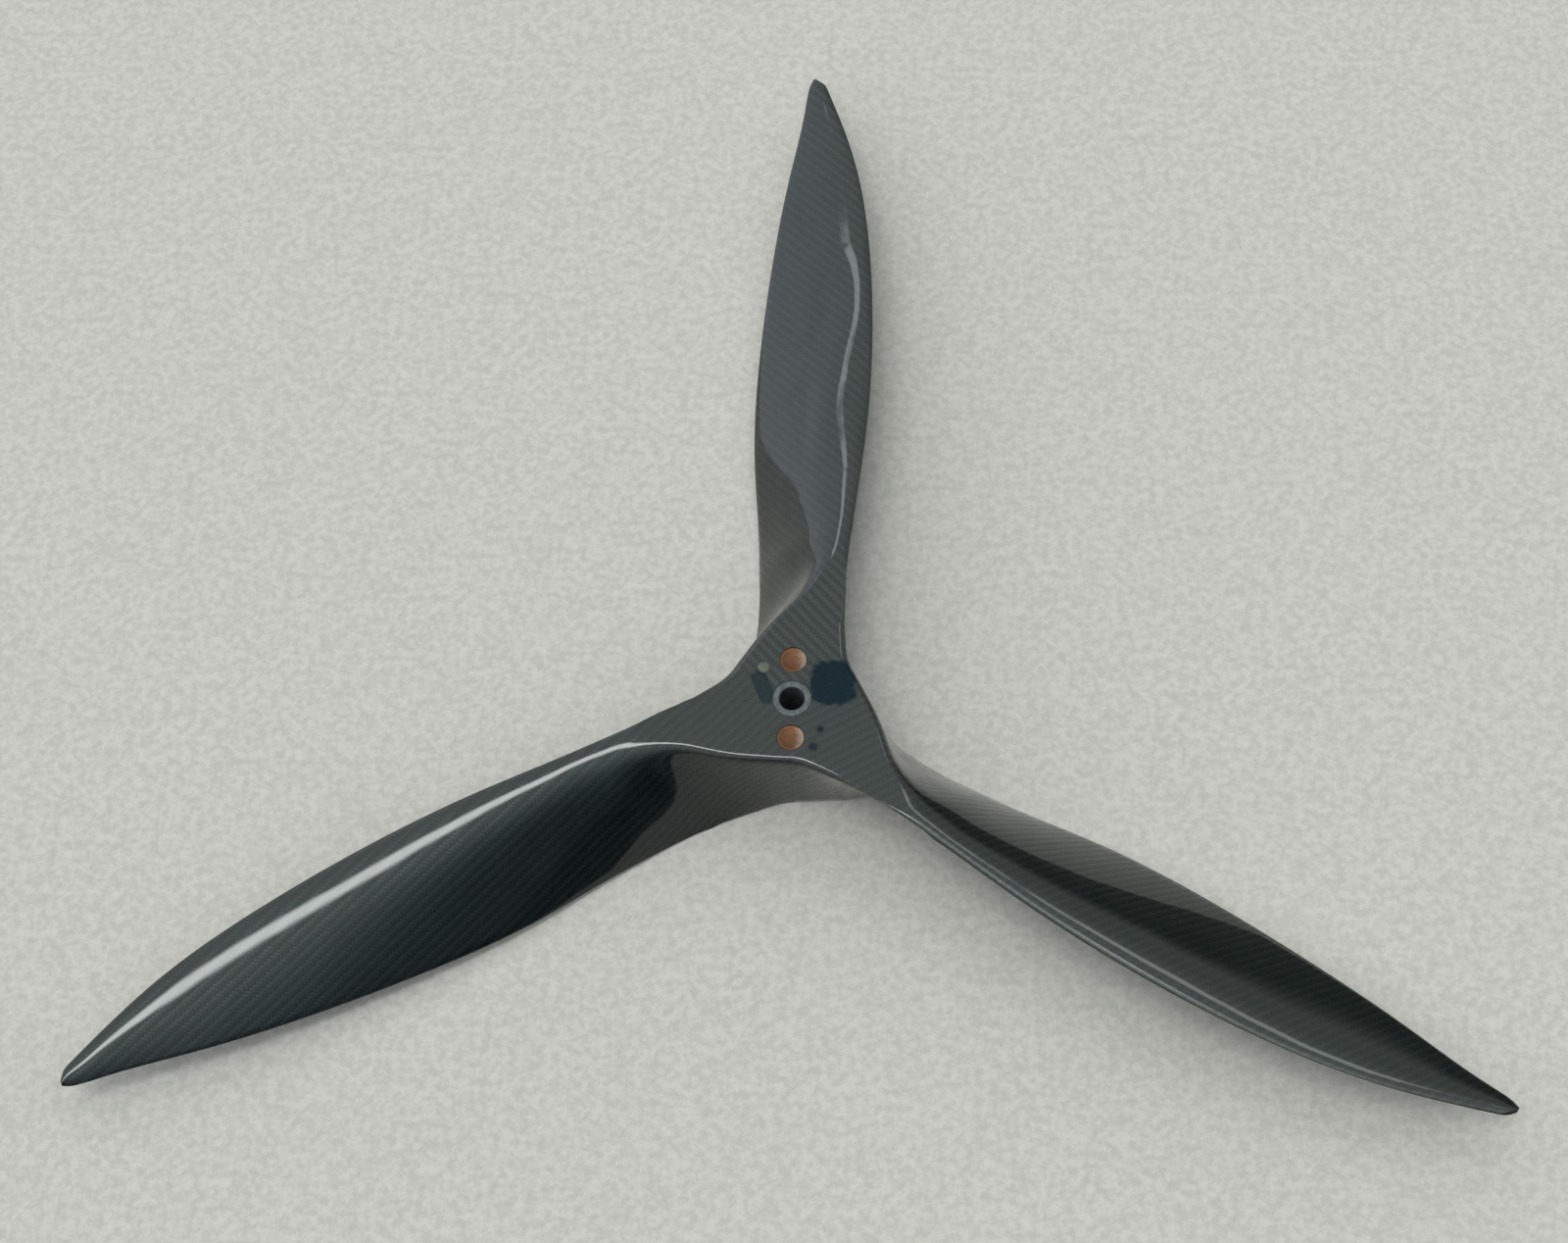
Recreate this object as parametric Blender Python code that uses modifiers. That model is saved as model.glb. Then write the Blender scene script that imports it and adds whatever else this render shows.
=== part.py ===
"""Fixed-pitch three-blade propeller, moulded from carbon cloth over foam and roving.

Frame: metres, origin on the shaft axis midway between the two hub faces, +Z towards the front
(convex) side, blade 1 along +Y. Seen from the front, each blade's rounded leading edge is on
its clockwise side and stands high, and its thin trailing edge hangs low.

Every blade is worked out in its own section planes: x runs along the blade from the shaft axis,
y across it towards the leading edge, z up. Lengths below are in millimetres.
"""

import math

import bpy
import numpy as np

MM = 0.001

BLADE_COUNT = 3
FIRST_BLADE_ANGLE = 90.0
TIP_RADIUS = 254.0
HUB_HALF_HEIGHT = 16.0
BORE_RADIUS = 4.0
BUSH_RADIUS = 6.25
PIECE_GAP = 0.3
SKIN_THICKNESS = 0.7
TRAILING_EDGE_THICKNESS = 1.1
CAMBER_SHARE = 0.32
CAMBER_PEAK = 0.4

PLUG_RADIUS = 4.4
PLUG_CIRCLE_RADIUS = 13.7
PLUG_DEPTH = 10.0
PLUG_EDGE = 0.4

# Distance from the shaft axis, offset across the blade, height: the nose of the section.
LEADING_EDGE = (
    (0.0, 28.0, 16.0),
    (7.6, 21.2, 16.0),
    (11.1, 19.2, 16.0),
    (14.5, 17.9, 16.0),
    (18.0, 17.3, 16.0),
    (25.5, 16.9, 16.0),
    (33.0, 16.6, 15.9),
    (41.0, 16.5, 15.5),
    (51.0, 16.9, 14.9),
    (64.0, 17.7, 14.3),
    (76.0, 18.9, 13.4),
    (102.0, 21.5, 11.8),
    (140.0, 22.8, 9.5),
    (178.0, 21.0, 7.4),
    (216.0, 15.0, 5.8),
    (241.0, 7.4, 4.1),
    (249.0, 4.6, 3.5),
    (252.4, 2.7, 3.1),
    (254.0, 0.8, 2.6),
)
TRAILING_EDGE = (
    (0.0, -28.0, -16.0),
    (7.6, -21.2, -16.0),
    (11.1, -19.2, -16.0),
    (14.5, -17.8, -16.0),
    (18.0, -17.1, -16.0),
    (25.5, -15.9, -16.0),
    (33.0, -14.9, -15.9),
    (41.0, -14.2, -15.6),
    (51.0, -13.8, -15.3),
    (64.0, -14.0, -14.9),
    (76.0, -14.7, -14.2),
    (102.0, -17.0, -12.6),
    (140.0, -16.8, -9.3),
    (178.0, -13.6, -6.2),
    (216.0, -8.1, -2.4),
    (241.0, -3.6, 0.3),
    (249.0, -2.5, 1.2),
    (252.4, -1.6, 1.7),
    (254.0, -0.8, 2.1),
)
# Distance along the blade and offset of the edge where the flat hub face ends on the blade root.
HUB_RIDGE = (
    (0.0, -28.0),
    (7.6, -21.2),
    (11.1, -19.2),
    (15.2, -16.6),
    (20.3, -13.2),
    (26.4, -8.8),
    (32.3, -3.6),
    (37.0, 0.6),
    (43.5, 4.8),
    (51.0, 9.7),
    (57.0, 13.6),
    (64.0, 16.3),
)
SECTION_THICKNESS = (
    (0.0, 16.0),
    (38.0, 13.0),
    (51.0, 9.6),
    (64.0, 6.9),
    (76.0, 6.4),
    (102.0, 6.0),
    (140.0, 5.1),
    (178.0, 3.4),
    (216.0, 2.1),
    (241.0, 1.5),
    (254.0, 1.1),
)
# How far down the root's side wall the joint between the front and back skins lies.
JOINT_DROP = ((0.0, 0.5), (11.0, 0.5), (20.0, 0.36), (30.0, 0.14), (38.0, 0.04), (44.0, 0.02))
FULL_SKIN_START = 188.0
FULL_SKIN_END = 206.0
SOLID_HALF = 3.0

ROOT_BLEND_START = 38.0
ROOT_BLEND_END = 64.0
NOSE_ROUNDING = 3.0
TAIL_ROUNDING = 1.2
RIDGE_ROUNDING = 3.0

SKIN_STATIONS = (
    2.0, 9.0, 14.5, 19.0, 23.5, 28.0, 33.0, 38.0, 43.5, 49.5, 56.0, 63.0, 72.0,
    84.0, 100.0, 118.0, 138.0, 158.0, 174.0, 188.0, 200.0, 214.0, 229.0, 241.0, 249.0, 252.4, TIP_RADIUS,
)
OFFSET_LIMIT = 35.0
LARGEST_FLANGE_SHARE = 0.1
LEAST_POINT_STEP = 0.03

# Positions along the section chord that match the points of the rounded hub outline.
FRONT_SHARES = (0.0, 0.004, 0.015, 0.035, 0.07, 0.13, 0.22, 0.34, 0.52, 0.76, 1.0)
BACK_SHARES = (0.0, 0.012, 0.05, 0.13, 0.26, 0.42, 0.58, 0.74, 0.87, 0.95, 1.0)
PATH_STEPS = (1, 2, 2, 2, 3)

HUB_CORE_REACH = 27.2
HUB_CORE_INSET = 1.45
HUB_CORE_CHAMFER = 2.0
HUB_CORE_STATIONS = (10.5, 14.0, 18.0, 22.5, HUB_CORE_REACH)
HUB_CORE_CHAMFER_HEIGHT = 2.5

INNER_START = 27.6
CORE_STATIONS = (INNER_START, 30.3, 33.0, 35.5, 38.0, 40.7, 43.5, 49.5, 56.0, 63.0, 72.0, 84.0, 100.0, 118.0, 138.0, 158.0)
SPAR_STATIONS = CORE_STATIONS + (174.0, 184.0)
TOW_STATIONS = (43.5, 49.5, 56.0, 63.0, 72.0, 84.0, 100.0, 118.0, 138.0, 150.0)
TOW_START = 1.9
TOW_END_SHARE = 0.105
LEADING_CORE_END_SHARE = 0.27
SPAR_END_SHARE = 0.46
TRAILING_CORE_END_SHARE = 0.80
LEAST_CORE_THICKNESS = 0.25
# The twisted sides of neighbouring inner pieces need a little more than the usual gap.
INNER_GAP = 0.5
# Extra room round the inner pieces where the root's outline turns sharp corners.
ROOT_CLEARANCE = 0.35
ROOT_CLEARANCE_ENDS = (56.0, 84.0)

ROUND_STEPS = 48
NOTCH_STEPS = 14
SECTOR_REACH = 270.0
CUTTER_HALF_HEIGHT = 30.0

NACA_ROOT, NACA_TERMS = 0.2969, (-0.1260, -0.3516, 0.2843, -0.1036)
NACA_SCALE = 5.0


def clear_scene():
    for thing in list(bpy.data.objects):
        bpy.data.objects.remove(thing, do_unlink=True)


def new_collection(name):
    made = bpy.data.collections.new(name)
    bpy.context.scene.collection.children.link(made)
    return made


def plain_material(name, color, roughness, metallic=0.0, coat=0.0):
    made = bpy.data.materials.new(name)
    made.use_nodes = True
    made.diffuse_color = (*color, 1.0)
    shader = made.node_tree.nodes["Principled BSDF"]
    shader.inputs["Base Color"].default_value = (*color, 1.0)
    shader.inputs["Roughness"].default_value = roughness
    shader.inputs["Metallic"].default_value = metallic
    shader.inputs["Coat Weight"].default_value = coat
    return made


def front_cloth_material():
    return plain_material("front_cloth", (0.035, 0.038, 0.045), 0.22, coat=1.0)


def back_cloth_material():
    return plain_material("back_cloth", (0.030, 0.032, 0.037), 0.30, coat=0.6)


def roving_material():
    return plain_material("roving", (0.020, 0.020, 0.022), 0.50)


def tow_material():
    return plain_material("edge_tow", (0.028, 0.028, 0.030), 0.45)


def foam_material():
    return plain_material("foam", (0.78, 0.72, 0.55), 0.85)


def hub_filler_material():
    return plain_material("hub_filler", (0.045, 0.043, 0.040), 0.60)


def bush_material():
    return plain_material("bush_metal", (0.55, 0.57, 0.60), 0.35, metallic=1.0)


def plug_material():
    return plain_material("plug_copper", (0.72, 0.34, 0.14), 0.35, metallic=1.0)


def curve_through(table, column):
    """A natural cubic curve through one column of a table, as a function of its first column."""
    places = np.array([row[0] for row in table])
    values = np.array([row[column] for row in table])
    steps = np.diff(places)
    rises = np.diff(values) / steps
    count = len(places)
    matrix = np.eye(count)
    right = np.zeros(count)
    for i in range(1, count - 1):
        matrix[i, i - 1] = steps[i - 1]
        matrix[i, i] = 2.0 * (steps[i - 1] + steps[i])
        matrix[i, i + 1] = steps[i]
        right[i] = 6.0 * (rises[i] - rises[i - 1])
    bends = np.linalg.solve(matrix, right)

    def value(place):
        i = int(np.clip(np.searchsorted(places, place) - 1, 0, count - 2))
        step = steps[i]
        far = (places[i + 1] - place) / step
        near = (place - places[i]) / step
        bend = ((far**3 - far) * bends[i] + (near**3 - near) * bends[i + 1]) * step**2 / 6.0
        return far * values[i] + near * values[i + 1] + bend

    return value


NOSE_ACROSS = curve_through(LEADING_EDGE, 1)
NOSE_HEIGHT = curve_through(LEADING_EDGE, 2)
TAIL_ACROSS = curve_through(TRAILING_EDGE, 1)
TAIL_HEIGHT = curve_through(TRAILING_EDGE, 2)
RIDGE_ACROSS = curve_through(HUB_RIDGE, 1)
THICKNESS = curve_through(SECTION_THICKNESS, 1)


def straight_value(table, place):
    return float(np.interp(place, [row[0] for row in table], [row[1] for row in table]))


def smooth_step(low, high, place):
    t = min(max((place - low) / (high - low), 0.0), 1.0)
    return t * t * (3.0 - 2.0 * t)


def rounded_path(points, roundings, steps):
    """A path with rounded inner corners, with a fixed number of points on every stretch."""
    start, first, second, end = points
    corners = []
    for before, corner, after, rounding in (
        (start, first, second, roundings[0]),
        (first, second, end, roundings[1]),
    ):
        back, ahead = before - corner, after - corner
        reach = min(rounding, 0.45 * np.linalg.norm(back), 0.45 * np.linalg.norm(ahead))
        enter = corner + back / np.linalg.norm(back) * reach
        leave = corner + ahead / np.linalg.norm(ahead) * reach
        corners.append((enter, corner, leave))
    path = [start]

    def straight(target, count):
        origin = path[-1]
        for i in range(1, count + 1):
            path.append(origin + (target - origin) * i / count)

    def bend(corner, count):
        enter, middle, leave = corner
        for i in range(1, count + 1):
            t = i / count
            path.append((1 - t) ** 2 * enter + 2 * t * (1 - t) * middle + t**2 * leave)

    straight(corners[0][0], steps[0])
    bend(corners[0], steps[1])
    straight(corners[1][0], steps[2])
    bend(corners[1], steps[3])
    straight(end, steps[4])
    return np.array(path)


def root_outlines(x):
    """Front and back outlines of the hub arm at x, both from leading to trailing joint."""
    nose = np.array([NOSE_ACROSS(x), HUB_HALF_HEIGHT])
    tail = np.array([TAIL_ACROSS(x), -HUB_HALF_HEIGHT])
    reach = min(x, HUB_RIDGE[-1][0])
    ridge_across = min(RIDGE_ACROSS(reach), nose[0] - 0.6)
    ridge = np.array([ridge_across, HUB_HALF_HEIGHT])
    back_ridge = np.array([max(-ridge_across, tail[0] + 0.6), -HUB_HALF_HEIGHT])
    drop = straight_value(JOINT_DROP, x)
    leading_joint = nose + (back_ridge - nose) * drop
    trailing_joint = tail + (ridge - tail) * drop
    front = rounded_path(
        (leading_joint, nose, ridge, trailing_joint), (NOSE_ROUNDING, RIDGE_ROUNDING), PATH_STEPS
    )
    back = rounded_path(
        (trailing_joint, tail, back_ridge, leading_joint), (TAIL_ROUNDING, RIDGE_ROUNDING), PATH_STEPS
    )
    return front, back[::-1]


def section_frame(start, end):
    length = np.linalg.norm(end - start)
    along = (end - start) / length
    return along, np.array([along[1], -along[0]]), length


def camber_at(share):
    if share < CAMBER_PEAK:
        return (2 * CAMBER_PEAK * share - share**2) / CAMBER_PEAK**2
    return (1 - 2 * CAMBER_PEAK + 2 * CAMBER_PEAK * share - share**2) / (1 - CAMBER_PEAK) ** 2


def half_thickness_at(share):
    total = NACA_ROOT * math.sqrt(share)
    for power, term in enumerate(NACA_TERMS, start=1):
        total += term * share**power
    return NACA_SCALE * total


def wing_outlines(x):
    """Front and back outlines of the cambered blade section at x."""
    nose = np.array([NOSE_ACROSS(x), NOSE_HEIGHT(x)])
    tail = np.array([TAIL_ACROSS(x), TAIL_HEIGHT(x)])
    along, outward, chord = section_frame(nose, tail)
    thickness = THICKNESS(x)
    sides = []
    for shares, side in ((FRONT_SHARES, 1.0), (BACK_SHARES, -1.0)):
        points = []
        for share in shares:
            middle = CAMBER_SHARE * thickness * camber_at(share)
            half = thickness * half_thickness_at(share) + share * TRAILING_EDGE_THICKNESS / 2
            points.append(nose + along * chord * share + outward * (middle + side * half))
        sides.append(np.array(points))
    return sides


class Section:
    """The blade's section at one distance from the shaft, in its own chord frame."""

    def __init__(self, x):
        self.x = x
        wing = smooth_step(ROOT_BLEND_START, ROOT_BLEND_END, x)
        root_front, root_back = root_outlines(x)
        wing_front, wing_back = wing_outlines(x)
        front = root_front * (1 - wing) + wing_front * wing
        back = root_back * (1 - wing) + wing_back * wing
        self.start = (front[0] + back[0]) / 2
        end = (front[-1] + back[-1]) / 2
        self.along, self.outward, self.chord = section_frame(self.start, end)
        self.camber = wing * CAMBER_SHARE * THICKNESS(x)
        self.front = self.to_chord(front)
        self.back = self.to_chord(back)
        for side, points in ((1.0, self.front), (-1.0, self.back)):
            for point in points:
                point[1] = side * max(side * point[1], side * self.middle(point[0]) + PIECE_GAP / 2)

    def to_chord(self, points):
        away = points - self.start
        return np.stack([away @ self.along, away @ self.outward], axis=1)

    def from_chord(self, point):
        across, height = self.start + self.along * point[0] + self.outward * point[1]
        return (self.x, across, height)

    def middle(self, place):
        share = min(max(place / self.chord, 0.0), 1.0)
        return self.camber * camber_at(share)

    def moved_in(self, points, side, depth):
        """The outline moved inwards by depth."""
        tangents = np.gradient(points, axis=0)
        tangents /= np.linalg.norm(tangents, axis=1)[:, None]
        inward = np.stack([tangents[:, 1], -tangents[:, 0]], axis=1) * side
        return points + inward * depth

    def lining(self, side, depth):
        """The skin's inner outline, kept clear of the joint between the two skins."""
        points = self.front if side > 0 else self.back
        moved = self.moved_in(points, side, depth)
        if self.x > OFFSET_LIMIT:
            flange = min(depth, LARGEST_FLANGE_SHARE * self.chord)
            places = np.clip(moved[:, 0], flange, self.chord)
            for i in range(1, len(places)):
                places[i] = max(places[i], places[i - 1] + LEAST_POINT_STEP)
            places[-1] = self.chord
            for i in range(len(places) - 2, 0, -1):
                places[i] = min(places[i], places[i + 1] - LEAST_POINT_STEP)
            heights = [self.inner_height(place, side, depth) for place in places]
            moved = np.stack([places, heights], axis=1)
        for point in moved:
            point[1] = side * max(side * point[1], side * self.middle(point[0]) + PIECE_GAP / 2)
        return moved

    def inner_height(self, place, side, depth):
        """Height of the outline moved inwards by depth, at one place along the chord."""
        points = self.front if side > 0 else self.back
        moved = self.moved_in(points, side, depth)
        first = int(np.argmin(moved[:, 0]))
        places = np.maximum.accumulate(moved[first:, 0])
        return float(np.interp(place, places, moved[first:, 1]))


def skin_depth(x):
    return SKIN_THICKNESS + SOLID_HALF * smooth_step(FULL_SKIN_START, FULL_SKIN_END, x)


def skin_loop(x, side):
    section = Section(x)
    outer = section.front if side > 0 else section.back
    inner = section.lining(side, skin_depth(x))
    loop = [section.from_chord(point) for point in outer]
    loop += [section.from_chord(point) for point in inner[::-1]]
    return loop


def block_loop(x, start_place, end_place, steps):
    """A closed loop between two places along the chord, clear of both skins."""
    section = Section(x)
    depth = SKIN_THICKNESS + PIECE_GAP + ROOT_CLEARANCE * (1.0 - smooth_step(*ROOT_CLEARANCE_ENDS, x))
    places = np.linspace(start_place(section.chord), end_place(section.chord), steps + 1)
    upper = []
    lower = []
    for place in places:
        low = section.inner_height(place, -1.0, depth)
        high = max(section.inner_height(place, 1.0, depth), low + LEAST_CORE_THICKNESS)
        upper.append(section.from_chord((place, high)))
        lower.append(section.from_chord((place, low)))
    return upper + lower[::-1]


def turned(point, degrees):
    """A point of a blade's own frame, in the part's frame, for a blade at this angle."""
    x, y, z = point
    angle = math.radians(degrees)
    return (
        (x * math.cos(angle) + y * math.sin(angle)) * MM,
        (x * math.sin(angle) - y * math.cos(angle)) * MM,
        z * MM,
    )


def blade_angle(number):
    return FIRST_BLADE_ANGLE - (number - 1) * 360.0 / BLADE_COUNT


def mesh_object(name, vertices, faces, material, collection):
    mesh = bpy.data.meshes.new(name)
    mesh.from_pydata(vertices, [], faces)
    mesh.validate()
    made = bpy.data.objects.new(name, mesh)
    collection.objects.link(made)
    if material is not None:
        mesh.materials.append(material)
    return made


def wall_faces(loops, split):
    """Faces between neighbouring loops, split if asked from the higher corner to the lower."""
    count = len(loops[0])
    faces = []
    for i in range(len(loops) - 1):
        for j in range(count):
            k = (j + 1) % count
            a, b = i * count + j, i * count + k
            c, d = b + count, a + count
            if not split:
                faces.append((b, a, d, c))
            elif loops[i][j][2] > loops[i][k][2]:
                faces += [(a, c, b), (a, d, c)]
            else:
                faces += [(a, d, b), (d, c, b)]
    return faces


def solid_through(name, loops, material, collection, split=False):
    """A closed solid through loops that all have the same number of points."""
    count = len(loops[0])
    vertices = [point for loop in loops for point in loop]
    last = (len(loops) - 1) * count
    faces = [tuple(range(count))]
    faces += wall_faces(loops, split)
    faces.append(tuple(range(last + count - 1, last - 1, -1)))
    made = mesh_object(name, vertices, faces, material, collection)
    outward_faces(made)
    return made


def loft(name, loops, angle, material, collection, split=False):
    """A solid through loops given in one blade's own frame."""
    placed = [[turned(point, angle) for point in loop] for loop in loops]
    return solid_through(name, placed, material, collection, split)


def outward_faces(thing):
    """Turn the faces outwards if the solid came out inside out."""
    mesh = thing.data
    mesh.calc_loop_triangles()
    volume = 0.0
    for triangle in mesh.loop_triangles:
        a, b, c = (mesh.vertices[i].co for i in triangle.vertices)
        volume += a.dot(b.cross(c))
    if volume < 0.0:
        mesh.flip_normals()


def shade(thing, flat_beyond):
    """Smooth shading, with creases kept where faces meet at more than this angle."""
    for polygon in thing.data.polygons:
        polygon.use_smooth = True
    thing.data.set_sharp_from_angle(angle=math.radians(flat_beyond))


def boolean(thing, operation, cutter):
    cut = thing.modifiers.new(operation.lower() + "_" + cutter.name, "BOOLEAN")
    cut.operation = operation
    cut.solver = "EXACT"
    cut.object = cutter


def as_cutter(thing):
    thing.hide_render = True
    thing.display_type = "WIRE"
    return thing


def sector_cutter(number, collection):
    """The 120 degree share of the hub that belongs to one blade, with a notch for the bush."""
    notch = BUSH_RADIUS + PIECE_GAP
    half = 180.0 / BLADE_COUNT
    edge = half - math.degrees(math.asin(PIECE_GAP / 2 / notch))
    outline = []
    for i in range(NOTCH_STEPS + 1):
        angle = math.radians(-edge + 2 * edge * i / NOTCH_STEPS)
        outline.append((notch * math.cos(angle), notch * math.sin(angle)))
    for side in (1.0, -1.0):
        angle = math.radians(half)
        x = SECTOR_REACH * math.cos(angle) + PIECE_GAP / 2 * math.sin(angle)
        y = SECTOR_REACH * math.sin(angle) - PIECE_GAP / 2 * math.cos(angle)
        outline.append((x, side * y))
    low = [(x, y, -CUTTER_HALF_HEIGHT) for x, y in outline]
    high = [(x, y, CUTTER_HALF_HEIGHT) for x, y in outline]
    # Beyond the two far corners the outline reaches past the blade tip.
    tip = (SECTOR_REACH, 0.0)
    low.insert(NOTCH_STEPS + 2, (*tip, -CUTTER_HALF_HEIGHT))
    high.insert(NOTCH_STEPS + 2, (*tip, CUTTER_HALF_HEIGHT))
    return as_cutter(loft(f"sector_cutter_{number}", [low, high], blade_angle(number), None, collection))


def cylinder(name, radius, low, high, center, material, collection):
    bpy.ops.mesh.primitive_cylinder_add(
        vertices=ROUND_STEPS,
        radius=radius * MM,
        depth=(high - low) * MM,
        location=(center[0] * MM, center[1] * MM, (low + high) / 2 * MM),
    )
    made = bpy.context.object
    made.name = name
    made.data.name = name
    made.data.transform(made.matrix_world)
    made.matrix_world.identity()
    for old in list(made.users_collection):
        old.objects.unlink(made)
    collection.objects.link(made)
    if material is not None:
        made.data.materials.append(material)
    return made


def build_skins(parts, cutters, plug_cutters):
    """The front and back cloth skins, three of each, meeting on three seams across the hub."""
    front_cloth = front_cloth_material()
    back_cloth = back_cloth_material()
    for number in range(1, BLADE_COUNT + 1):
        cutter = sector_cutter(number, cutters)
        for label, side, material in (("front", 1.0, front_cloth), ("back", -1.0, back_cloth)):
            loops = [skin_loop(x, side) for x in SKIN_STATIONS]
            skin = loft(f"{label}_skin_{number}", loops, blade_angle(number), material, parts)
            boolean(skin, "INTERSECT", cutter)
            if side > 0:
                for plug_cutter in plug_cutters:
                    boolean(skin, "DIFFERENCE", plug_cutter)
            shade(skin, 35.0)


def build_blade_insides(parts):
    """Foam, spar and edge tow of each blade, side by side between the skins."""
    foam = foam_material()
    roving = roving_material()
    tow = tow_material()

    def tow_start(chord):
        return TOW_START

    def share_of(share, gap):
        return lambda chord: share * chord + gap

    pieces = (
        ("leading_tow", tow, TOW_STATIONS, tow_start, share_of(TOW_END_SHARE, 0.0), 1),
        ("leading_core", foam, CORE_STATIONS, share_of(TOW_END_SHARE, INNER_GAP),
         share_of(LEADING_CORE_END_SHARE, 0.0), 2),
        ("spar", roving, SPAR_STATIONS, share_of(LEADING_CORE_END_SHARE, INNER_GAP),
         share_of(SPAR_END_SHARE, 0.0), 2),
        ("trailing_core", foam, CORE_STATIONS, share_of(SPAR_END_SHARE, INNER_GAP),
         share_of(TRAILING_CORE_END_SHARE, 0.0), 3),
    )
    for number in range(1, BLADE_COUNT + 1):
        for label, material, stations, start, end, steps in pieces:
            loops = [block_loop(x, start, end, steps) for x in stations]
            piece = loft(f"{label}_{number}", loops, blade_angle(number), material, parts, split=True)
            shade(piece, 35.0)


def hub_core_outline(height, inset):
    """Outline of the hub filler at one height, inside the side walls of the three arms."""
    down = (HUB_HALF_HEIGHT - height) / (2 * HUB_HALF_HEIGHT)
    outline = []
    for number in range(1, BLADE_COUNT + 1):
        leading = []
        trailing = []
        for x in HUB_CORE_STATIONS:
            nose, tail, ridge = NOSE_ACROSS(x), TAIL_ACROSS(x), RIDGE_ACROSS(x)
            leading.append((x, nose + (-ridge - nose) * down - inset, height))
            trailing.append((x, ridge + (tail - ridge) * down + inset, height))
        for point in trailing + leading[::-1]:
            outline.append(turned(point, blade_angle(number)))
    return outline


def build_hub_core(parts, bore_cutter, plug_cutters):
    """The three-armed block of chopped fibre and resin that fills the hub."""
    top = HUB_HALF_HEIGHT - SKIN_THICKNESS - PIECE_GAP
    levels = (
        (-top, HUB_CORE_INSET + HUB_CORE_CHAMFER),
        (-top + HUB_CORE_CHAMFER_HEIGHT, HUB_CORE_INSET),
        (0.0, HUB_CORE_INSET),
        (top - HUB_CORE_CHAMFER_HEIGHT, HUB_CORE_INSET),
        (top, HUB_CORE_INSET + HUB_CORE_CHAMFER),
    )
    loops = [hub_core_outline(height, inset) for height, inset in levels]
    core = solid_through("hub_core", loops, hub_filler_material(), parts)
    boolean(core, "DIFFERENCE", bore_cutter)
    for plug_cutter in plug_cutters:
        boolean(core, "DIFFERENCE", plug_cutter)
    shade(core, 35.0)


def build_hub_bush(parts, cutters):
    """The sleeve round the bore, flush with both hub faces."""
    bush = cylinder(
        "hub_bush", BUSH_RADIUS, -HUB_HALF_HEIGHT, HUB_HALF_HEIGHT, (0.0, 0.0), bush_material(), parts
    )
    bore = cylinder(
        "bore_cutter", BORE_RADIUS, -CUTTER_HALF_HEIGHT, CUTTER_HALF_HEIGHT, (0.0, 0.0), None, cutters
    )
    boolean(bush, "DIFFERENCE", as_cutter(bore))
    shade(bush, 35.0)


def plug_centers():
    """One plug on the first blade's axis and one opposite, on the same circle."""
    return ((0.0, PLUG_CIRCLE_RADIUS), (0.0, -PLUG_CIRCLE_RADIUS))


def build_plug_cutters(cutters):
    made = []
    low = HUB_HALF_HEIGHT - PLUG_DEPTH - PIECE_GAP
    for number, center in enumerate(plug_centers(), start=1):
        cutter = cylinder(
            f"plug_cutter_{number}", PLUG_RADIUS + PIECE_GAP, low, CUTTER_HALF_HEIGHT, center, None, cutters
        )
        made.append(as_cutter(cutter))
    return made


def build_plugs(parts):
    """The two copper-coloured plugs in the hub's front face."""
    copper = plug_material()
    low = HUB_HALF_HEIGHT - PLUG_DEPTH
    for number, center in enumerate(plug_centers(), start=1):
        name = f"drive_pin_plug_{number}"
        plug = cylinder(name, PLUG_RADIUS, low, HUB_HALF_HEIGHT, center, copper, parts)
        edge = plug.modifiers.new("edge", "BEVEL")
        edge.width = PLUG_EDGE * MM
        edge.segments = 1
        edge.limit_method = "ANGLE"
        shade(plug, 35.0)


def build():
    clear_scene()
    parts = new_collection("carbon_propeller")
    cutters = new_collection("cutters")
    cutters.hide_render = True
    plug_cutters = build_plug_cutters(cutters)
    bush_cutter = as_cutter(
        cylinder(
            "bush_cutter", BUSH_RADIUS + PIECE_GAP, -CUTTER_HALF_HEIGHT, CUTTER_HALF_HEIGHT,
            (0.0, 0.0), None, cutters,
        )
    )
    build_skins(parts, cutters, plug_cutters)
    build_blade_insides(parts)
    build_hub_core(parts, bush_cutter, plug_cutters)
    build_hub_bush(parts, cutters)
    build_plugs(parts)


build()
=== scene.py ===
"""Finished look of a three-blade carbon propeller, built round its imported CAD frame.

Frame: metres, origin on the shaft axis midway between the two hub faces, +Z towards the front
(convex) side, blade 1 along +Y. Tables and section work are in millimetres, in each blade's own
planes: x along the blade, y across it towards the leading edge, z up.
"""

import math

import bmesh
import bpy
import numpy as np
from mathutils import Matrix, Vector


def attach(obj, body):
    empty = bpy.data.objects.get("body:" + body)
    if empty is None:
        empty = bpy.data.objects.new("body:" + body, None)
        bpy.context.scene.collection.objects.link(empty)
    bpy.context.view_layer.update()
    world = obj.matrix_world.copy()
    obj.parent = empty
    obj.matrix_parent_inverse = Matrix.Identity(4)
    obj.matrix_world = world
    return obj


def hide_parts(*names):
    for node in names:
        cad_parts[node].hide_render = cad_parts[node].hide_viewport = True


MM = 0.001

BLADE_COUNT = 3
FIRST_BLADE_ANGLE = 90.0
TIP_RADIUS = 254.0
HUB_HALF_HEIGHT = 16.0
BORE_RADIUS = 4.0
BUSH_RADIUS = 6.25
SKIN_THICKNESS = 0.7
TRAILING_EDGE_THICKNESS = 1.1
CAMBER_SHARE = 0.32
CAMBER_PEAK = 0.4
PLUG_RADIUS = 4.4
PLUG_CIRCLE_RADIUS = 13.7
PLUG_DEPTH = 10.0

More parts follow.
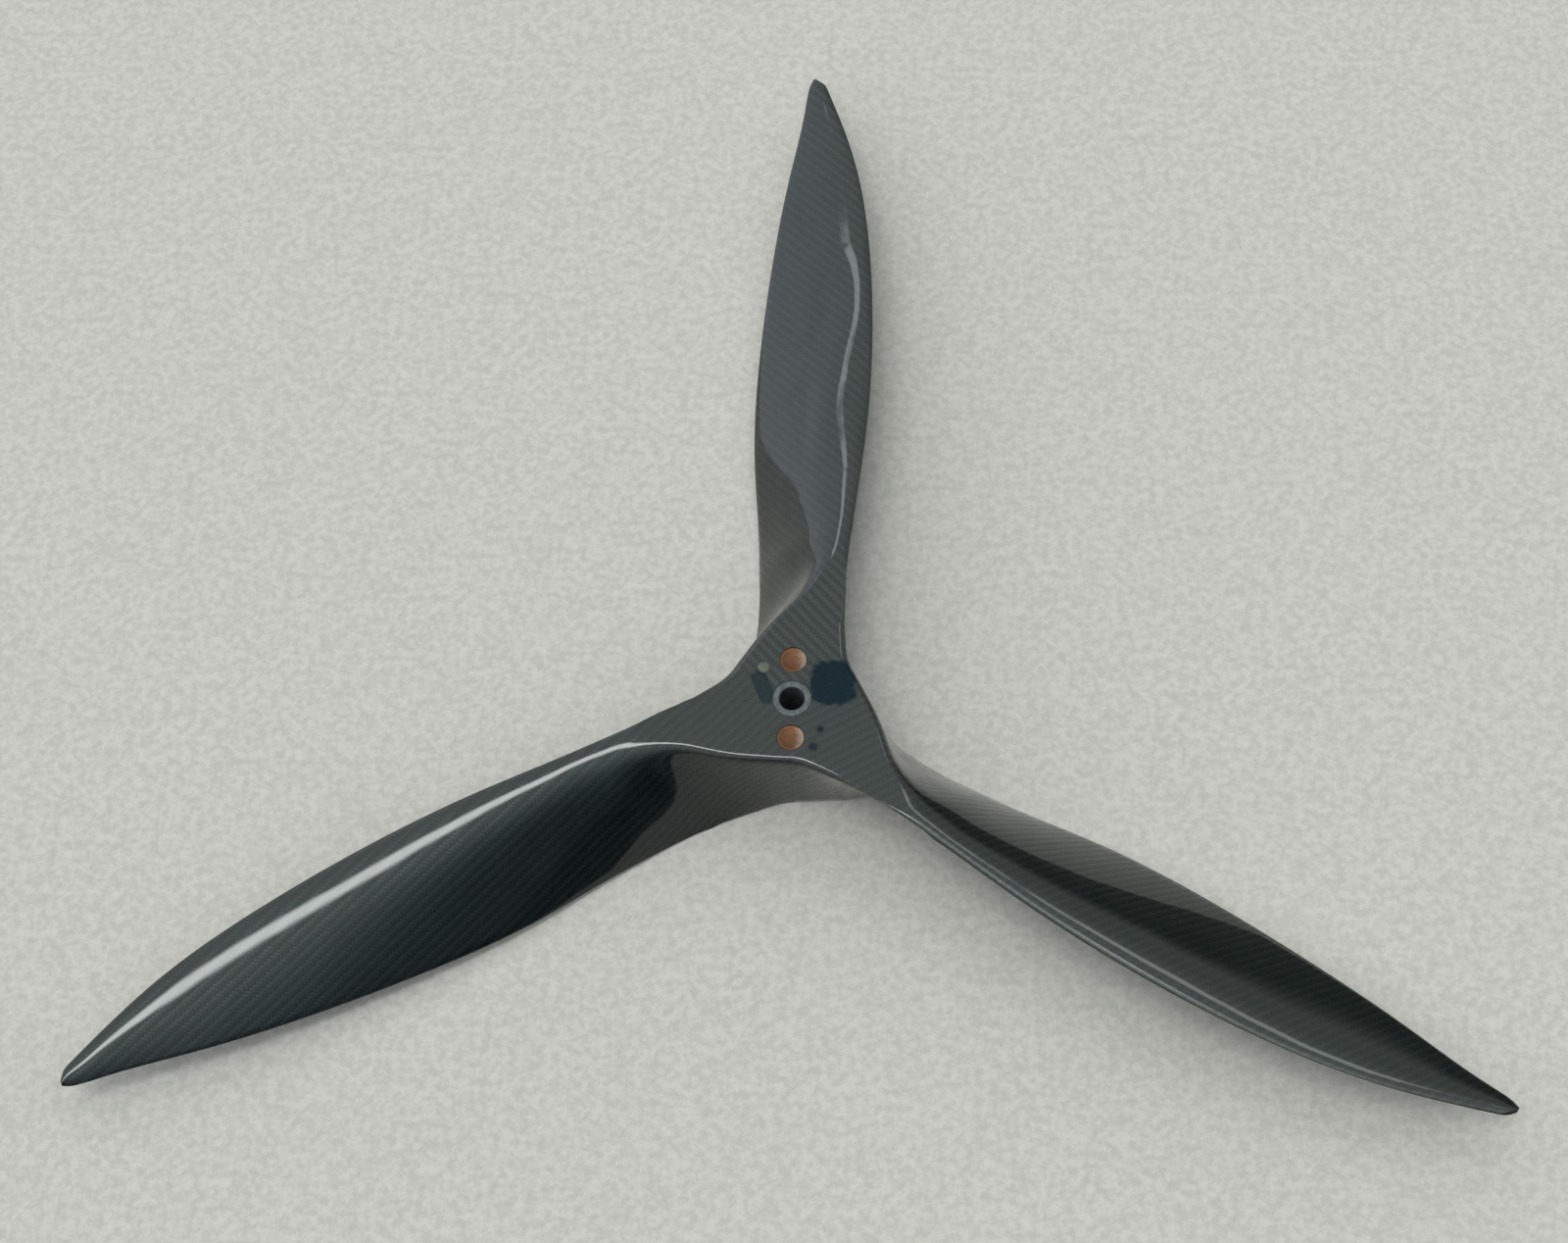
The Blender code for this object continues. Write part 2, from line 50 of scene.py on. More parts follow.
# Hairlines left between neighbouring pieces that are bonded flush on the real propeller.
JOINT_HAIRLINE = 0.02
SEAM_HAIRLINE = 0.03
PLUG_HAIRLINE = 0.05

# Leading and trailing edges: distance from the shaft axis, offset across the blade, height.
LEADING_EDGE = (
    (0.0, 28.0, 16.0),
    (7.6, 21.2, 16.0),
    (11.1, 19.2, 16.0),
    (14.5, 17.9, 16.0),
    (18.0, 17.3, 16.0),
    (25.5, 16.9, 16.0),
    (33.0, 16.6, 15.9),
    (41.0, 16.5, 15.5),
    (51.0, 16.9, 14.9),
    (64.0, 17.7, 14.3),
    (76.0, 18.9, 13.4),
    (102.0, 21.5, 11.8),
    (140.0, 22.8, 9.5),
    (178.0, 21.0, 7.4),
    (216.0, 15.0, 5.8),
    (241.0, 7.4, 4.1),
    (249.0, 4.6, 3.5),
    (252.4, 2.7, 3.1),
    (254.0, 0.8, 2.6),
)
TRAILING_EDGE = (
    (0.0, -28.0, -16.0),
    (7.6, -21.2, -16.0),
    (11.1, -19.2, -16.0),
    (14.5, -17.8, -16.0),
    (18.0, -17.1, -16.0),
    (25.5, -15.9, -16.0),
    (33.0, -14.9, -15.9),
    (41.0, -14.2, -15.6),
    (51.0, -13.8, -15.3),
    (64.0, -14.0, -14.9),
    (76.0, -14.7, -14.2),
    (102.0, -17.0, -12.6),
    (140.0, -16.8, -9.3),
    (178.0, -13.6, -6.2),
    (216.0, -8.1, -2.4),
    (241.0, -3.6, 0.3),
    (249.0, -2.5, 1.2),
    (252.4, -1.6, 1.7),
    (254.0, -0.8, 2.1),
)
# The ridge between the hub's flat face and its side wall: distance from the axis and offset.
HUB_RIDGE = (
    (0.0, -28.0),
    (7.6, -21.2),
    (11.1, -19.2),
    (15.2, -16.6),
    (20.3, -13.2),
    (26.4, -8.8),
    (32.3, -3.6),
    (37.0, 0.6),
    (43.5, 4.8),
    (51.0, 9.7),
    (57.0, 13.6),
    (64.0, 16.3),
)
# Thickness of the section at each distance from the axis.
SECTION_THICKNESS = (
    (0.0, 16.0),
    (38.0, 13.0),
    (51.0, 9.6),
    (64.0, 6.9),
    (76.0, 6.4),
    (102.0, 6.0),
    (140.0, 5.1),
    (178.0, 3.4),
    (216.0, 2.1),
    (241.0, 1.5),
    (254.0, 1.1),
)
# How far down the root's side wall the joint between the front and back skins lies.
JOINT_DROP = ((0.0, 0.5), (11.0, 0.5), (20.0, 0.36), (30.0, 0.14), (38.0, 0.04), (44.0, 0.02))
FULL_SKIN_START = 188.0
FULL_SKIN_END = 206.0
SOLID_HALF = 3.0

ROOT_BLEND_START = 38.0
ROOT_BLEND_END = 64.0
NOSE_ROUNDING = 3.0
TAIL_ROUNDING = 1.2
RIDGE_ROUNDING = 3.0

# How near the ridge comes to the section's corners, and the most of a run that a rounding takes.
LEAST_RIDGE_WIDTH = 0.6
LARGEST_ROUNDING_SHARE = 0.45

FIRST_STATION = 2.0
LARGEST_FLANGE_SHARE = 0.1
LEAST_ROUNDING = 0.4
FRONT_SHARES = (0.0, 0.004, 0.015, 0.035, 0.07, 0.13, 0.22, 0.34, 0.52, 0.76, 1.0)
BACK_SHARES = (0.0, 0.012, 0.05, 0.13, 0.26, 0.42, 0.58, 0.74, 0.87, 0.95, 1.0)
PATH_STEPS = (1, 2, 2, 2, 3)

# Points laid between each pair of the section's base points, and the spacing of the stations.
POINT_REFINEMENT = 4
LINING_REFINEMENT = 2
STATION_SPACINGS = (
    (2.0, 1.0), (30.0, 1.0), (66.0, 1.6), (110.0, 3.0), (228.0, 3.0), (242.0, 1.0), (252.0, 0.4)
)
EDGE_RADIUS = 0.5
EDGE_TURNS = (0.0, 30.0, 55.0, 75.0, 90.0)

# How far the solids that cut the pieces reach above and below the part, and beyond the tips.
CUTTER_HALF_HEIGHT = 30.0
CUTTER_MARGIN = 16.0

NACA_ROOT, NACA_TERMS = 0.2969, (-0.1260, -0.3516, 0.2843, -0.1036)
NACA_SCALE = 5.0

# Cloth: tow pitch in millimetres, and the angle from each blade's axis, towards its trailing
# edge, of the diagonal ribs that the twill shows.
TOW_PITCH = 1.0
FRONT_RIB_ANGLES = (43.0, 60.0, 16.0)
BACK_RIB_ANGLES = (-45.0, -45.0, -45.0)

# A swell in the first blade's lacquer: where it starts, its length, its middle line and its slope.
LACQUER_WAVE_START = 86.5
LACQUER_WAVE_LENGTH = 94.0
LACQUER_WAVE_ACROSS = 14.0
LACQUER_WAVE_SLOPE = 0.1

# The angle beyond which an edge is drawn sharp.
SHARP_ANGLE = 35.0

# Small round marks on the hub's front: place, radius and colour.
DRILLING_MARKS = (
    (-9.4, 10.9, 1.9, (0.10, 0.11, 0.085, 1.0)),
    (9.3, -10.7, 1.2, (0.004, 0.008, 0.008, 1.0)),
    (7.2, -16.9, 1.5, (0.006, 0.008, 0.018, 1.0)),
)

FLOOR_HEIGHT = -16.15
# Painted reflection: the floor that the lacquer mirrors is painted dark between these distances in
# front of the propeller.
REFLECTION_DARK_START = 230.0
REFLECTION_DARK_END = 330.0

# Brightness of the sky, and the ceiling's lamps: centre, heading in degrees, half length, half
# width, softness of the edge, and brightness.
SKY_LEVEL = 1.12
CEILING_LAMPS = (
    ((-0.20, -0.167), 24.0, 0.31, 0.085, 0.05, 11.0),
    ((-0.485, 1.062), -24.7, 0.105, 0.092, 0.03, 3.0),
    ((0.373, 0.527), 49.0, 0.08, 0.055, 0.02, 2.6),
)

# The camera: its place, and the way it looks, turned and tilted, in degrees.
VIEW_ELEVATION = 62.53
VIEW_ROLL = -5.24
VIEW_TURN = 6.543
VIEW_DISTANCE = 971.1
VIEW_AIM = (-0.254, 39.14, -6.26)
LENS = 67.53
SENSOR = 36.0


def curve_through(table, column):
    """A natural cubic curve through one column of a table, as a function of its first column."""
    places = np.array([row[0] for row in table])
    values = np.array([row[column] for row in table])
    steps = np.diff(places)
    rises = np.diff(values) / steps
    count = len(places)
    matrix = np.eye(count)
    right = np.zeros(count)
    for i in range(1, count - 1):
        matrix[i, i - 1] = steps[i - 1]
        matrix[i, i] = 2.0 * (steps[i - 1] + steps[i])
        matrix[i, i + 1] = steps[i]
        right[i] = 6.0 * (rises[i] - rises[i - 1])
    bends = np.linalg.solve(matrix, right)

    def value(place):
        i = int(np.clip(np.searchsorted(places, place) - 1, 0, count - 2))
        step = steps[i]
        far = (places[i + 1] - place) / step
        near = (place - places[i]) / step
        bend = ((far**3 - far) * bends[i] + (near**3 - near) * bends[i + 1]) * step**2 / 6.0
        return far * values[i] + near * values[i + 1] + bend

    return value


NOSE_ACROSS = curve_through(LEADING_EDGE, 1)
NOSE_HEIGHT = curve_through(LEADING_EDGE, 2)
TAIL_ACROSS = curve_through(TRAILING_EDGE, 1)
TAIL_HEIGHT = curve_through(TRAILING_EDGE, 2)
RIDGE_ACROSS = curve_through(HUB_RIDGE, 1)
THICKNESS = curve_through(SECTION_THICKNESS, 1)


def straight_value(table, place):
    return float(np.interp(place, [row[0] for row in table], [row[1] for row in table]))


def smooth_step(low, high, place):
    t = min(max((place - low) / (high - low), 0.0), 1.0)
    return t * t * (3.0 - 2.0 * t)


def rounded_path(points, roundings, steps):
    """A path with rounded inner corners, with a fixed number of points on every stretch."""
    start, first, second, end = points
    corners = []
    for before, corner, after, rounding in (
        (start, first, second, roundings[0]),
        (first, second, end, roundings[1]),
    ):
        back, ahead = before - corner, after - corner
        shorter = min(np.linalg.norm(back), np.linalg.norm(ahead))
        reach = min(rounding, LARGEST_ROUNDING_SHARE * shorter)
        enter = corner + back / np.linalg.norm(back) * reach
        leave = corner + ahead / np.linalg.norm(ahead) * reach
        corners.append((enter, corner, leave))
    path = [start]

    def straight(target, count):
        origin = path[-1]
        for i in range(1, count + 1):
            path.append(origin + (target - origin) * i / count)

    def bend(corner, count):
        enter, middle, leave = corner
        for i in range(1, count + 1):
            t = i / count
            path.append((1 - t) ** 2 * enter + 2 * t * (1 - t) * middle + t**2 * leave)

    straight(corners[0][0], steps[0])
    bend(corners[0], steps[1])
    straight(corners[1][0], steps[2])
    bend(corners[1], steps[3])
    straight(end, steps[4])
    return np.array(path)


def root_corners(x):
    """The corners of the hub arm at x: front, then back, both from one joint to the other."""
    nose = np.array([NOSE_ACROSS(x), HUB_HALF_HEIGHT])
    tail = np.array([TAIL_ACROSS(x), -HUB_HALF_HEIGHT])
    reach = min(x, HUB_RIDGE[-1][0])
    ridge_across = min(RIDGE_ACROSS(reach), nose[0] - LEAST_RIDGE_WIDTH)
    ridge = np.array([ridge_across, HUB_HALF_HEIGHT])
    back_ridge = np.array([max(-ridge_across, tail[0] + LEAST_RIDGE_WIDTH), -HUB_HALF_HEIGHT])
    drop = straight_value(JOINT_DROP, x)
    leading_joint = nose + (back_ridge - nose) * drop
    trailing_joint = tail + (ridge - tail) * drop
    front = (leading_joint, nose, ridge, trailing_joint)
    back = (trailing_joint, tail, back_ridge, leading_joint)
    return front, back


def root_outline(x, side, refinement):
    """Front or back outline of the hub arm at x, from leading to trailing joint."""
    front, back = root_corners(x)
    steps = [count * refinement for count in PATH_STEPS]
    if side > 0:
        return rounded_path(front, (NOSE_ROUNDING, RIDGE_ROUNDING), steps)
    return rounded_path(back, (TAIL_ROUNDING, RIDGE_ROUNDING), steps)[::-1]


def lines_meet(point, direction, other_point, other_direction):
    """Where two straight lines cross."""
    matrix = np.column_stack([direction, -other_direction])
    share = np.linalg.solve(matrix, other_point - point)
    return point + direction * share[0]


def root_lining(x, side, depth):
    """The hub arm's outline moved inwards by depth, ending on the line between the joints."""
    corners = root_corners(x)[0 if side > 0 else 1]
    runs = [after - before for before, after in zip(corners, corners[1:])]
    moved = []
    for run, origin in zip(runs, corners):
        inward = np.array([-run[1], run[0]]) / np.linalg.norm(run)
        moved.append(origin + inward * depth)
    chord = corners[3] - corners[0]
    inner = (
        lines_meet(moved[0], runs[0], corners[0], chord),
        lines_meet(moved[0], runs[0], moved[1], runs[1]),
        lines_meet(moved[1], runs[1], moved[2], runs[2]),
        lines_meet(moved[2], runs[2], corners[0], chord),
    )
    first = NOSE_ROUNDING if side > 0 else TAIL_ROUNDING
    roundings = (max(first - depth, LEAST_ROUNDING), max(RIDGE_ROUNDING - depth, LEAST_ROUNDING))
    path = rounded_path(inner, roundings, [count * LINING_REFINEMENT for count in PATH_STEPS])
    return path if side > 0 else path[::-1]


def section_frame(start, end):
    length = np.linalg.norm(end - start)
    along = (end - start) / length
    return along, np.array([along[1], -along[0]]), length


def camber_at(share):
    if share < CAMBER_PEAK:
        return (2 * CAMBER_PEAK * share - share**2) / CAMBER_PEAK**2
    return (1 - 2 * CAMBER_PEAK + 2 * CAMBER_PEAK * share - share**2) / (1 - CAMBER_PEAK) ** 2


def half_thickness_at(share):
    total = NACA_ROOT * math.sqrt(share)
    for power, term in enumerate(NACA_TERMS, start=1):
        total += term * share**power
    return NACA_SCALE * total


def refined_shares(shares, refinement):
    """Chord positions with more between each pair, closest together round the nose."""
    roots = np.sqrt(np.array(shares))
    count = (len(shares) - 1) * refinement
    fine = np.interp(np.arange(count + 1) / refinement, np.arange(len(shares)), roots)
    return fine**2


def wing_outline(x, side, refinement, depth=None):
    """Front or back outline of the cambered blade section at x, or its lining if depth is given."""
    nose = np.array([NOSE_ACROSS(x), NOSE_HEIGHT(x)])
    tail = np.array([TAIL_ACROSS(x), TAIL_HEIGHT(x)])
    along, outward, chord = section_frame(nose, tail)
    thickness = THICKNESS(x)
    flange = 0.0 if depth is None else min(SKIN_THICKNESS, LARGEST_FLANGE_SHARE * chord)
    points = []
    for share in refined_shares(FRONT_SHARES if side > 0 else BACK_SHARES, refinement):
        half = thickness * half_thickness_at(share) + share * TRAILING_EDGE_THICKNESS / 2
        if depth is not None:
            half = max(half - depth, 0.0)
        place = flange + share * (chord - 2 * flange)
        middle = CAMBER_SHARE * thickness * camber_at(place / chord)
        points.append(nose + along * place + outward * (middle + side * half))
    return np.array(points)


class Section:
    """One skin's outline and lining at one distance from the shaft."""

    def __init__(self, x, side):
        self.x = x
        self.side = side
        self.wing = smooth_step(ROOT_BLEND_START, ROOT_BLEND_END, x)
        outline = self.mixed(
            root_outline(x, side, POINT_REFINEMENT), wing_outline(x, side, POINT_REFINEMENT)
        )
        depth = skin_depth(x)
        lining = self.mixed(
            root_lining(x, side, depth), wing_outline(x, side, LINING_REFINEMENT, depth)
        )
        leading, trailing = root_corners(x)[0][0], root_corners(x)[0][3]
        nose = np.array([NOSE_ACROSS(x), NOSE_HEIGHT(x)])
        tail = np.array([TAIL_ACROSS(x), TAIL_HEIGHT(x)])
        self.start = self.mixed(leading, nose)
        self.along, self.outward, self.chord = section_frame(self.start, self.mixed(trailing, tail))
        self.camber = self.wing * CAMBER_SHARE * THICKNESS(x)
        self.outline = self.from_chord(self.kept_to_side(self.round_tail(self.to_chord(outline))))
        self.lining = self.from_chord(self.kept_to_side(self.to_chord(lining)))

    def mixed(self, root, wing):
        return root * (1 - self.wing) + wing * self.wing

    def middle(self, place):
        share = min(max(place / self.chord, 0.0), 1.0)
        return self.camber * camber_at(share)

    def kept_to_side(self, points):
        for point in points:
            edge = self.side * self.middle(point[0]) + JOINT_HAIRLINE / 2
            point[1] = self.side * max(self.side * point[1], edge)
        return points

    def to_chord(self, points):
        away = points - self.start
        return np.stack([away @ self.along, away @ self.outward], axis=1)

    def from_chord(self, points):
        return self.start + points[:, :1] * self.along + points[:, 1:] * self.outward

    def round_tail(self, points):
        """The outline with its thin trailing edge turned round in small steps."""
        end, before = points[-1], points[-2]
        reach = min(EDGE_RADIUS, 0.3 * np.linalg.norm(end - before))
        inward = (before - end) / np.linalg.norm(before - end) * reach
        middle = self.middle(self.chord)
        rounded = []
        for turn in EDGE_TURNS:
            angle = math.radians(turn)
            point = end + inward * (1.0 - math.sin(angle))
            flat = 1.0 - self.wing + self.wing * math.cos(angle)
            rounded.append([point[0], middle + (point[1] - middle) * flat])
        return np.concatenate([points[:-1], np.array(rounded)])


def skin_depth(x):
    return SKIN_THICKNESS + SOLID_HALF * smooth_step(FULL_SKIN_START, FULL_SKIN_END, x)


def fine_stations():
    """Distances from the shaft, close together at the hub, the root and the tip."""
    places = [row[0] for row in STATION_SPACINGS]
    spacings = [row[1] for row in STATION_SPACINGS]
    stations = [FIRST_STATION]
    while stations[-1] < TIP_RADIUS - 0.5 * spacings[-1]:
        stations.append(stations[-1] + float(np.interp(stations[-1], places, spacings)))
    stations[-1] = TIP_RADIUS
    return stations


def cloth_offsets(face, x, side, wing):
    """Distance across the cloth of every point of a face, so that it lies flat on the hub."""
    runs = np.linalg.norm(np.diff(face, axis=0), axis=1)
    arc = np.concatenate([[0.0], np.cumsum(runs)])
    if side > 0:
        corner = (PATH_STEPS[0] + PATH_STEPS[1] / 2) * POINT_REFINEMENT
        return NOSE_ACROSS(x) - arc + arc[int(corner)] * (1.0 - wing)
    corner = -(PATH_STEPS[0] + PATH_STEPS[1] / 2) * POINT_REFINEMENT - len(EDGE_TURNS)
    from_tail = arc[-1] - arc
    return TAIL_ACROSS(x) + from_tail - from_tail[int(corner)] * (1.0 - wing)


def skin_rings(side):
    """Closed rings of points of one skin, with each point's cloth coordinates and nose distance."""
    rings = []
    cloth = []
    nose = []
    for x in fine_stations():
        section = Section(x, side)
        face, lining = section.outline, section.lining[::-1]
        offsets = cloth_offsets(face, x, side, section.wing)
        lining_offsets = np.linspace(offsets[-1], offsets[0], len(lining))
        ring = np.concatenate([face, lining])
        rings.append(np.column_stack([np.full(len(ring), x), ring]))
        cloth.append(np.column_stack([np.full(len(ring), x), np.append(offsets, lining_offsets)]))
        from_nose = np.linalg.norm(ring - face[0], axis=1)
        nose.append(np.column_stack([from_nose, np.full(len(ring), section.wing)]))
    return np.array(rings), np.array(cloth), np.array(nose)


def turned(points, degrees):
    """Points of a blade's own frame, in the part's frame and in metres."""
    angle = math.radians(degrees)
    x, y, z = points[:, 0], points[:, 1], points[:, 2]
    across = x * math.cos(angle) + y * math.sin(angle)
    up = x * math.sin(angle) - y * math.cos(angle)
    return np.column_stack([across, up, z]) * MM


def blade_angle(number):
    return FIRST_BLADE_ANGLE - (number - 1) * 360.0 / BLADE_COUNT


def mesh_object(name, vertices, faces):
    mesh = bpy.data.meshes.new(name)
    mesh.from_pydata(vertices, [], faces)
    mesh.validate()
    made = bpy.data.objects.new(name, mesh)
    bpy.context.scene.collection.objects.link(made)
    return made


def outward_faces(thing):
    """Turn the faces outwards if the solid came out inside out."""
    mesh = thing.data
    mesh.calc_loop_triangles()
    volume = 0.0
    for triangle in mesh.loop_triangles:
        a, b, c = (mesh.vertices[i].co for i in triangle.vertices)
        volume += a.dot(b.cross(c))
    if volume < 0.0:
        mesh.flip_normals()


def lofted(name, rings):
    """A closed solid through rings of points that all have the same number of points."""
    levels, count = rings.shape[0], rings.shape[1]
    faces = [tuple(range(count))]
    for i in range(levels - 1):
        for j in range(count):
            k = (j + 1) % count
            a, b = i * count + j, i * count + k
            faces.append((b, a, a + count, b + count))
    last = (levels - 1) * count
    faces.append(tuple(range(last + count - 1, last - 1, -1)))
    made = mesh_object(name, rings.reshape(-1, 3).tolist(), faces)
    outward_faces(made)
    return made


def lay_cloth(thing, cloth, rib_angle):
    """Cloth coordinates, in tow widths along and across the warp, on every face corner."""
    angle = math.radians(rib_angle - 45.0)
    along = cloth[:, 0] * math.cos(angle) - cloth[:, 1] * math.sin(angle)
    across = -cloth[:, 0] * math.sin(angle) - cloth[:, 1] * math.cos(angle)
    lay_layer(thing, "cloth", np.column_stack([along, across]) / TOW_PITCH)


def lay_layer(thing, name, places):
    """A pair of values for every point, kept as a layer of coordinates."""
    layer = thing.data.uv_layers.new(name=name)
    corners = np.zeros(len(thing.data.loops), np.int32)
    thing.data.loops.foreach_get("vertex_index", corners)
    layer.data.foreach_set("uv", places[corners].astype(np.float32).ravel())


def disc_cutter(name, radius, center, low, high, steps=96):
    turns = np.arange(steps) * 2 * math.pi / steps
    across = center[0] + radius * np.cos(turns)
    up = center[1] + radius * np.sin(turns)
    rings = [np.column_stack([across, up, np.full(steps, height)]) * MM for height in (low, high)]
    return lofted(name, np.array(rings))


def sector_cutter(number):
    """The 120 degree share of the propeller that belongs to one blade, notched for the bush."""
    notch = BUSH_RADIUS + SEAM_HAIRLINE
    half = 180.0 / BLADE_COUNT
    edge = half - math.degrees(math.asin(SEAM_HAIRLINE / 2 / notch))
    outline = [
        (notch * math.cos(turn), notch * math.sin(turn))
        for turn in np.radians(np.linspace(-edge, edge, 65))
    ]
    reach = TIP_RADIUS + CUTTER_MARGIN
    corner = math.radians(half)
    x = reach * math.cos(corner) + SEAM_HAIRLINE / 2 * math.sin(corner)
    y = reach * math.sin(corner) - SEAM_HAIRLINE / 2 * math.cos(corner)
    outline += [(x, y), (reach, 0.0), (x, -y)]
    levels = []
    for height in (-CUTTER_HALF_HEIGHT, CUTTER_HALF_HEIGHT):
        points = np.array([(px, py, height) for px, py in outline])
        levels.append(turned(points, blade_angle(number)))
    return lofted(f"sector_cutter_{number}", np.array(levels))


def cut(thing, operation, cutter):
    modifier = thing.modifiers.new(operation.lower(), "BOOLEAN")
    modifier.operation = operation
    modifier.solver = "EXACT"
    modifier.object = cutter


def settle(thing):
    """Make the modifiers' result the object's own mesh."""
    graph = bpy.context.evaluated_depsgraph_get()
    made = bpy.data.meshes.new_from_object(thing.evaluated_get(graph))
    thing.modifiers.clear()
    old = thing.data
    thing.data = made
    bpy.data.meshes.remove(old)
    made.name = thing.name


def tidy_mesh(thing):
    """Merge doubled points and drop faces without area that cutting can leave."""
    work = bmesh.new()
    work.from_mesh(thing.data)
    bmesh.ops.remove_doubles(work, verts=work.verts, dist=4e-7)
    bmesh.ops.dissolve_degenerate(work, edges=work.edges, dist=2e-7)
    loose = [edge for edge in work.edges if not edge.link_faces]
    bmesh.ops.delete(work, geom=loose, context="EDGES")
    work.to_mesh(thing.data)
    work.free()


def smooth(thing):
    for polygon in thing.data.polygons:
        polygon.use_smooth = True
    thing.data.set_sharp_from_angle(angle=math.radians(SHARP_ANGLE))


def finish_piece(thing, material, node):
    thing.data.materials.clear()
    thing.data.materials.append(material)
    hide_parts(node)
    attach(thing, "root")


def plug_centers():
    return ((0.0, PLUG_CIRCLE_RADIUS), (0.0, -PLUG_CIRCLE_RADIUS))


def build_skins(front_material, back_material):
    """The six cloth skins, each cut to its blade's third of the hub."""
    hole = PLUG_RADIUS + PLUG_HAIRLINE
    plug_cutters = [
        disc_cutter(f"plug_cutter_{i}", hole, center, 0.0, CUTTER_HALF_HEIGHT)
        for i, center in enumerate(plug_centers())
    ]
    sectors = [sector_cutter(number) for number in range(1, BLADE_COUNT + 1)]
    for side, label, ribs, material in (
        (1.0, "front", FRONT_RIB_ANGLES, front_material),
        (-1.0, "back", BACK_RIB_ANGLES, back_material),
    ):
        rings, cloth, nose = skin_rings(side)
        for number in range(1, BLADE_COUNT + 1):
            placed = np.array([turned(ring, blade_angle(number)) for ring in rings])
            skin = lofted(f"{label}_cloth_{number}", placed)
            lay_cloth(skin, cloth.reshape(-1, 2), ribs[number - 1])
            lay_layer(skin, "nose", nose.reshape(-1, 2))
            cut(skin, "INTERSECT", sectors[number - 1])
            if side > 0:
                for cutter in plug_cutters:
                    cut(skin, "DIFFERENCE", cutter)
            settle(skin)
            tidy_mesh(skin)
            smooth(skin)
            finish_piece(skin, material, f"{label}_skin_{number}")
    for cutter in plug_cutters + sectors:
        bpy.data.objects.remove(cutter, do_unlink=True)


def turned_solid(name, profile, center, steps=96):
    """A closed solid of revolution from a closed profile of radius and height pairs."""
    rings = []
    for i in range(steps):
        angle = 2 * math.pi * i / steps
        rings.append([
            ((center[0] + r * math.cos(angle)) * MM, (center[1] + r * math.sin(angle)) * MM, z * MM)
            for r, z in profile
        ])
    count = len(profile)
    vertices = [point for ring in rings for point in ring]
    faces = []
    for i in range(steps):
        k = (i + 1) % steps
        for j in range(count):
            m = (j + 1) % count
            faces.append((i * count + j, k * count + j, k * count + m, i * count + m))
    made = mesh_object(name, vertices, faces)
    tidy_mesh(made)
    outward_faces(made)
    return made


def arc_points(center, radius, start, end, steps):
    turns = np.radians(np.linspace(start, end, steps + 1))
    return [(center[0] + radius * math.cos(t), center[1] + radius * math.sin(t)) for t in turns]


def build_bush(material):
    """The sleeve round the bore, with a rounded rim at both faces and a small lead-in."""
    rim, lead = 0.35, 0.5
    top = HUB_HALF_HEIGHT
    profile = []
    profile += arc_points((BUSH_RADIUS - rim, top - rim), rim, 0, 90, 6)
    profile += arc_points((BORE_RADIUS + lead, top - lead), lead, 90, 180, 6)
    profile += arc_points((BORE_RADIUS + lead, lead - top), lead, 180, 270, 6)
    profile += arc_points((BUSH_RADIUS - rim, rim - top), rim, 270, 360, 6)
    bush = turned_solid("hub_sleeve", profile, (0.0, 0.0))
    smooth(bush)
    finish_piece(bush, material, "hub_bush")


def build_plugs(material):
    """The two copper plugs: a rounded rim round a shallow dished face."""
    top = HUB_HALF_HEIGHT
    low = top - PLUG_DEPTH
    rim = 0.4
    for number, center in enumerate(plug_centers(), start=1):
        profile = [(0.0, top - 0.75)]
        profile += [(1.1, top - 0.72), (2.2, top - 0.6), (3.0, top - 0.35), (3.4, top - 0.12)]
        profile += arc_points((PLUG_RADIUS - rim, top - rim), rim, 90, 0, 6)
        profile += arc_points((PLUG_RADIUS - rim, low + rim), rim, 0, -90, 6)
        profile += [(0.0, low)]
        plug = turned_solid(f"copper_plug_{number}", profile, center)
        smooth(plug)
        finish_piece(plug, material, f"drive_pin_plug_{number}")


